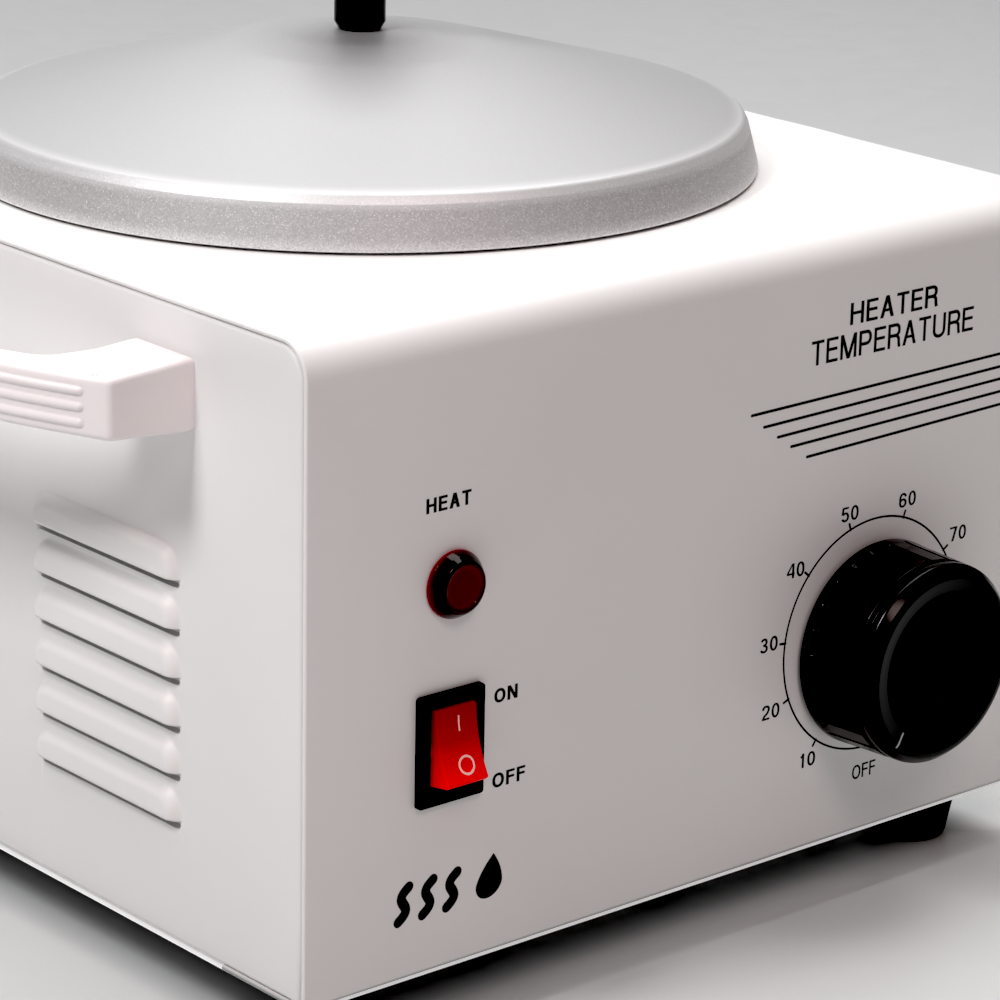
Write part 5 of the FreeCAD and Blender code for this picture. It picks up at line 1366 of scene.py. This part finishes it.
# ---------------------------------------------------------------- print on the front panel
# (word, x0, x1, z0, z1, stroke width)
LABELS = [
    ("HEAT", -67.6, -57.4, 100.25, 103.0, 0.54), ("ON", -51.2, -45.7, 61.5, 64.2, 0.52),
    ("OFF", -51.3, -43.5, 45.2, 48.0, 0.52), ("HEATER", 35.1, 58.6, 117.5, 121.8, 0.66),
    ("TEMPERATURE", 25.2, 69.0, 111.1, 115.9, 0.66)]
# round the dial: (text, x, z, reach to the left, reach to the right)
SCALE_TEXT = [
    ("10", 28.7, 31.7, 2.05, 2.3), ("20", 18.4, 44.0, 2.3, 2.3), ("30", 17.2, 57.8, 2.3, 2.3),
    ("40", 23.5, 71.4, 2.3, 2.3), ("50", 37.5, 79.9, 2.3, 2.3), ("60", 53.2, 79.8, 2.3, 2.3),
    ("70", 68.0, 70.0, 2.3, 2.3), ("80", 73.4, 54.4, 2.3, 2.3), ("90", 69.2, 39.6, 2.3, 2.3),
    ("OFF", 44.7, 25.8, 3.2, 3.2)]
SCALE_TEXT_HALF = 1.48                              # half height of the scale text
SCALE_X, SCALE_Z, SCALE_R = DIAL_X - 0.5, DIAL_Z + 1.5, 23.4
TICKS = (-126, -158, 173, 139, 107, 71, 34, 0, -33)  # degrees
# five stripes that step in from the left: (left x, left z, right z)
STRIPES = [(10.3, 104.2, 105.1), (13.6, 101.4, 102.5), (17.3, 98.8, 100.0),
           (20.9, 96.3, 97.4), (25.2, 93.5, 94.8)]
STRIPE_END = 91.0
WAVES_X, WAVES_LOW, WAVES_HIGH, WAVE_WIDTH = (-71.6, -66.0, -60.4), 23.8, 32.2, 2.1
DROP_X, DROP_Z, DROP_R = -51.6, 27.0, 3.1


def drop_outline():
    """A leaning drop with its point up."""
    outline = []
    for turn in np.linspace(-math.pi * 0.5, math.pi * 1.5, 48, endpoint=False):
        rise = math.sin(turn)
        x, z = DROP_R * math.cos(turn), DROP_R * rise
        if rise > 0:
            x *= (1 - rise) ** 0.55 * (1 + 0.25 * rise)
            z = DROP_R * rise * 1.95
        outline.append((DROP_X + x + 0.16 * z, DROP_Z + z * 0.93))
    return np.array(outline)


def build_print():
    parts = [text_mesh(*label) for label in LABELS]
    for text, x, z, left, right in SCALE_TEXT:
        parts.append(text_mesh(text, x - left, x + right, z - SCALE_TEXT_HALF,
                               z + SCALE_TEXT_HALF, 0.42))
    turn = np.radians(np.linspace(-92.0, -333.0, 220))
    parts.append(ribbon(np.c_[SCALE_X + SCALE_R * np.cos(turn), SCALE_Z + SCALE_R * np.sin(turn)],
                        0.42))
    for angle in TICKS:
        cos, sin = math.cos(math.radians(angle)), math.sin(math.radians(angle))
        tick = [(SCALE_X + r * cos, SCALE_Z + r * sin)
                for r in (SCALE_R - 0.1, SCALE_R + 0.6, SCALE_R + 1.3)]
        parts.append(ribbon(tick, 0.48, PRINT_OUT + 0.004))
    for x, z, end_z in STRIPES:
        middle = ((x + STRIPE_END) / 2, z + (end_z - z) * 0.5)
        parts.append(ribbon([(x, z), middle, (STRIPE_END, end_z)], 0.58))
    # three upright waves and a drop, low on the left
    rise = np.linspace(0, 1, 28)
    wave_round = WAVE_WIDTH / 2
    for x in WAVES_X:
        wave = np.c_[x + 1.05 * np.sin(rise * 2 * math.pi) + (rise - 0.5) * 2.4,
                     WAVES_LOW + wave_round + rise * (WAVES_HIGH - WAVES_LOW - WAVE_WIDTH)]
        parts.append(ribbon(wave, WAVE_WIDTH))
    parts.append(slab([drop_outline()], PRINT_IN, PRINT_OUT))
    make("panel_print", merge(parts), "white_enamel", angle=60.0, ink=PANEL_INK,
         place=on_front(0, 0))


build_wrap()
side_panel("side_skin_left", -1, "side_panel_left")
side_panel("side_skin_right", 1, "side_panel_right")
handle("handle_grip_left", -1, "handle_left")
handle("handle_grip_right", 1, "handle_right")
build_lid()
build_knob()
build_dial()
build_pointer()
build_switch()
build_rocker()
build_rocker_marks()
build_lamp()
build_feet()
build_print()


# ---------------------------------------------------------------- floor
BACKDROP = (0.50, 0.505, 0.51)


def floor_material():
    """Pale floor with a painted shadow, nearly black, under the housing, fading into the backdrop
    far away.
    """
    m = Material("studio_floor")
    blots = m.noise(1.2)
    specks = m.noise(90.0, detail=4.0)
    color = m.ramp(blots, [(0.3, (0.60, 0.612, 0.612)), (0.7, (0.63, 0.642, 0.642))])
    place = m.xyz()
    far = m.radius(place[0], place[1])
    color = m.mix(m.remap(far, over=(0.18, 0.75), to=(0.0, 1.0), smooth=True), color,
                  (0.475, 0.48, 0.485))
    # painted shadow: nearly black under the housing, fading out at its edges
    past_x = m.math("SUBTRACT", m.math("ABSOLUTE", place[0]), HALF_WIDTH / 1000)
    past_y = m.math("SUBTRACT", m.math("ABSOLUTE", place[1]), HALF_DEPTH / 1000)
    under = m.remap(m.math("MAXIMUM", past_x, past_y), over=(-0.020, 0.001), to=(0.97, 0.0),
                    smooth=True)
    color = m.mix(under, color, (0.004, 0.004, 0.004))
    return m.set(color=color, rough=m.remap(specks, over=(0.3, 0.7), to=(0.42, 0.55)),
                 spec=0.35, emit=BACKDROP,
                 emit_strength=m.remap(far, over=(1.3, 2.8), to=(0.0, 1.0), smooth=True))


def build_floor(radius=9.0, z=-0.0002, count=96):
    material = floor_material()
    data = bpy.data.meshes.new("studio_floor")
    turns = [2 * math.pi * i / count for i in range(count)]
    data.from_pydata([(radius * math.cos(t), radius * math.sin(t), z) for t in turns], [],
                     [tuple(range(count))])
    data.materials.append(material)
    obj = bpy.data.objects.new("studio_floor", data)
    SCENE.collection.objects.link(obj)


# ---------------------------------------------------------------- light
def build_world():
    """Dim light on the scene, with a mid grey seen by the camera."""
    world = bpy.data.worlds.new("studio_world")
    SCENE.world = world
    world.use_nodes = True
    nodes, links = world.node_tree.nodes, world.node_tree.links
    ambient = nodes["Background"]
    ambient.inputs[0].default_value = (0.90, 0.90, 0.90, 1)
    ambient.inputs[1].default_value = 0.11
    ray = nodes.new("ShaderNodeLightPath")
    backdrop = nodes.new("ShaderNodeBackground")
    backdrop.inputs[0].default_value = (*BACKDROP, 1)
    mixer = nodes.new("ShaderNodeMixShader")
    links.new(ray.outputs["Is Camera Ray"], mixer.inputs[0])
    links.new(ambient.outputs[0], mixer.inputs[1])
    links.new(backdrop.outputs[0], mixer.inputs[2])
    links.new(mixer.outputs[0], nodes["World Output"].inputs[0])


def area_light(name, location, aim, size, power, color=(1, 1, 1), specular=1.0):
    data = bpy.data.lights.new(name, "AREA")
    data.energy = power
    data.color = color
    data.shape = "RECTANGLE"
    data.size, data.size_y = size
    data.spread = math.pi
    data.specular_factor = specular
    obj = bpy.data.objects.new(name, data)
    SCENE.collection.objects.link(obj)
    obj.visible_camera = False
    obj.location = location
    obj.rotation_mode = "QUATERNION"
    obj.rotation_quaternion = (Vector(aim) - Vector(location)).to_track_quat("-Z", "Y")


build_floor()
build_world()
area_light("key_top", location=(0.28, 0.32, 1.35), aim=(0.02, 0.05, 0.1), size=(1.3, 1.2),
           power=22.5, color=(1.0, 0.998, 0.99))
area_light("side_left", location=(-0.86, -0.04, 1.03), aim=(-0.08, 0, 0.08), size=(0.26, 0.30),
           power=9.3, color=(1.0, 0.99, 0.995), specular=0.35)
area_light("front_fill", location=(-0.45, -1.15, 1.25), aim=(0, 0, 0.08), size=(0.5, 0.5),
           power=5.8, color=(1.0, 0.785, 0.755))
area_light("back_wash", location=(1.15, 1.75, 1.15), aim=(0.45, 0.55, 0.0), size=(1.8, 1.2),
           power=6.0)


# ---------------------------------------------------------------- camera
def build_camera(location, yaw, pitch, roll):
    """Angles in degrees: yaw from +Y towards +X, pitch downwards."""
    data = bpy.data.cameras.new("photo_camera")
    data.sensor_width = 36.0
    data.lens = 147.34
    data.clip_start = 0.02
    data.clip_end = 60.0
    obj = bpy.data.objects.new("photo_camera", data)
    SCENE.collection.objects.link(obj)
    yaw, pitch, roll = math.radians(yaw), math.radians(pitch), math.radians(roll)
    forward = Vector((math.sin(yaw) * math.cos(pitch), math.cos(yaw) * math.cos(pitch),
                      -math.sin(pitch)))
    level = Vector((math.cos(yaw), -math.sin(yaw), 0.0))
    upright = level.cross(forward)
    right = math.cos(roll) * level + math.sin(roll) * upright
    up = -math.sin(roll) * level + math.cos(roll) * upright
    matrix = Matrix((right, up, -forward)).transposed().to_4x4()
    matrix.translation = location
    obj.matrix_world = matrix
    SCENE.camera = obj


build_camera(location=(-0.49897, -0.62307, 0.3186), yaw=40.8087, pitch=17.7062, roll=1.1433)
view = SCENE.view_settings
view.view_transform = "Standard"
view.look = "None"
view.use_curve_mapping = True
view.curve_mapping.black_level = (0.027, 0.027, 0.027)
view.curve_mapping.update()
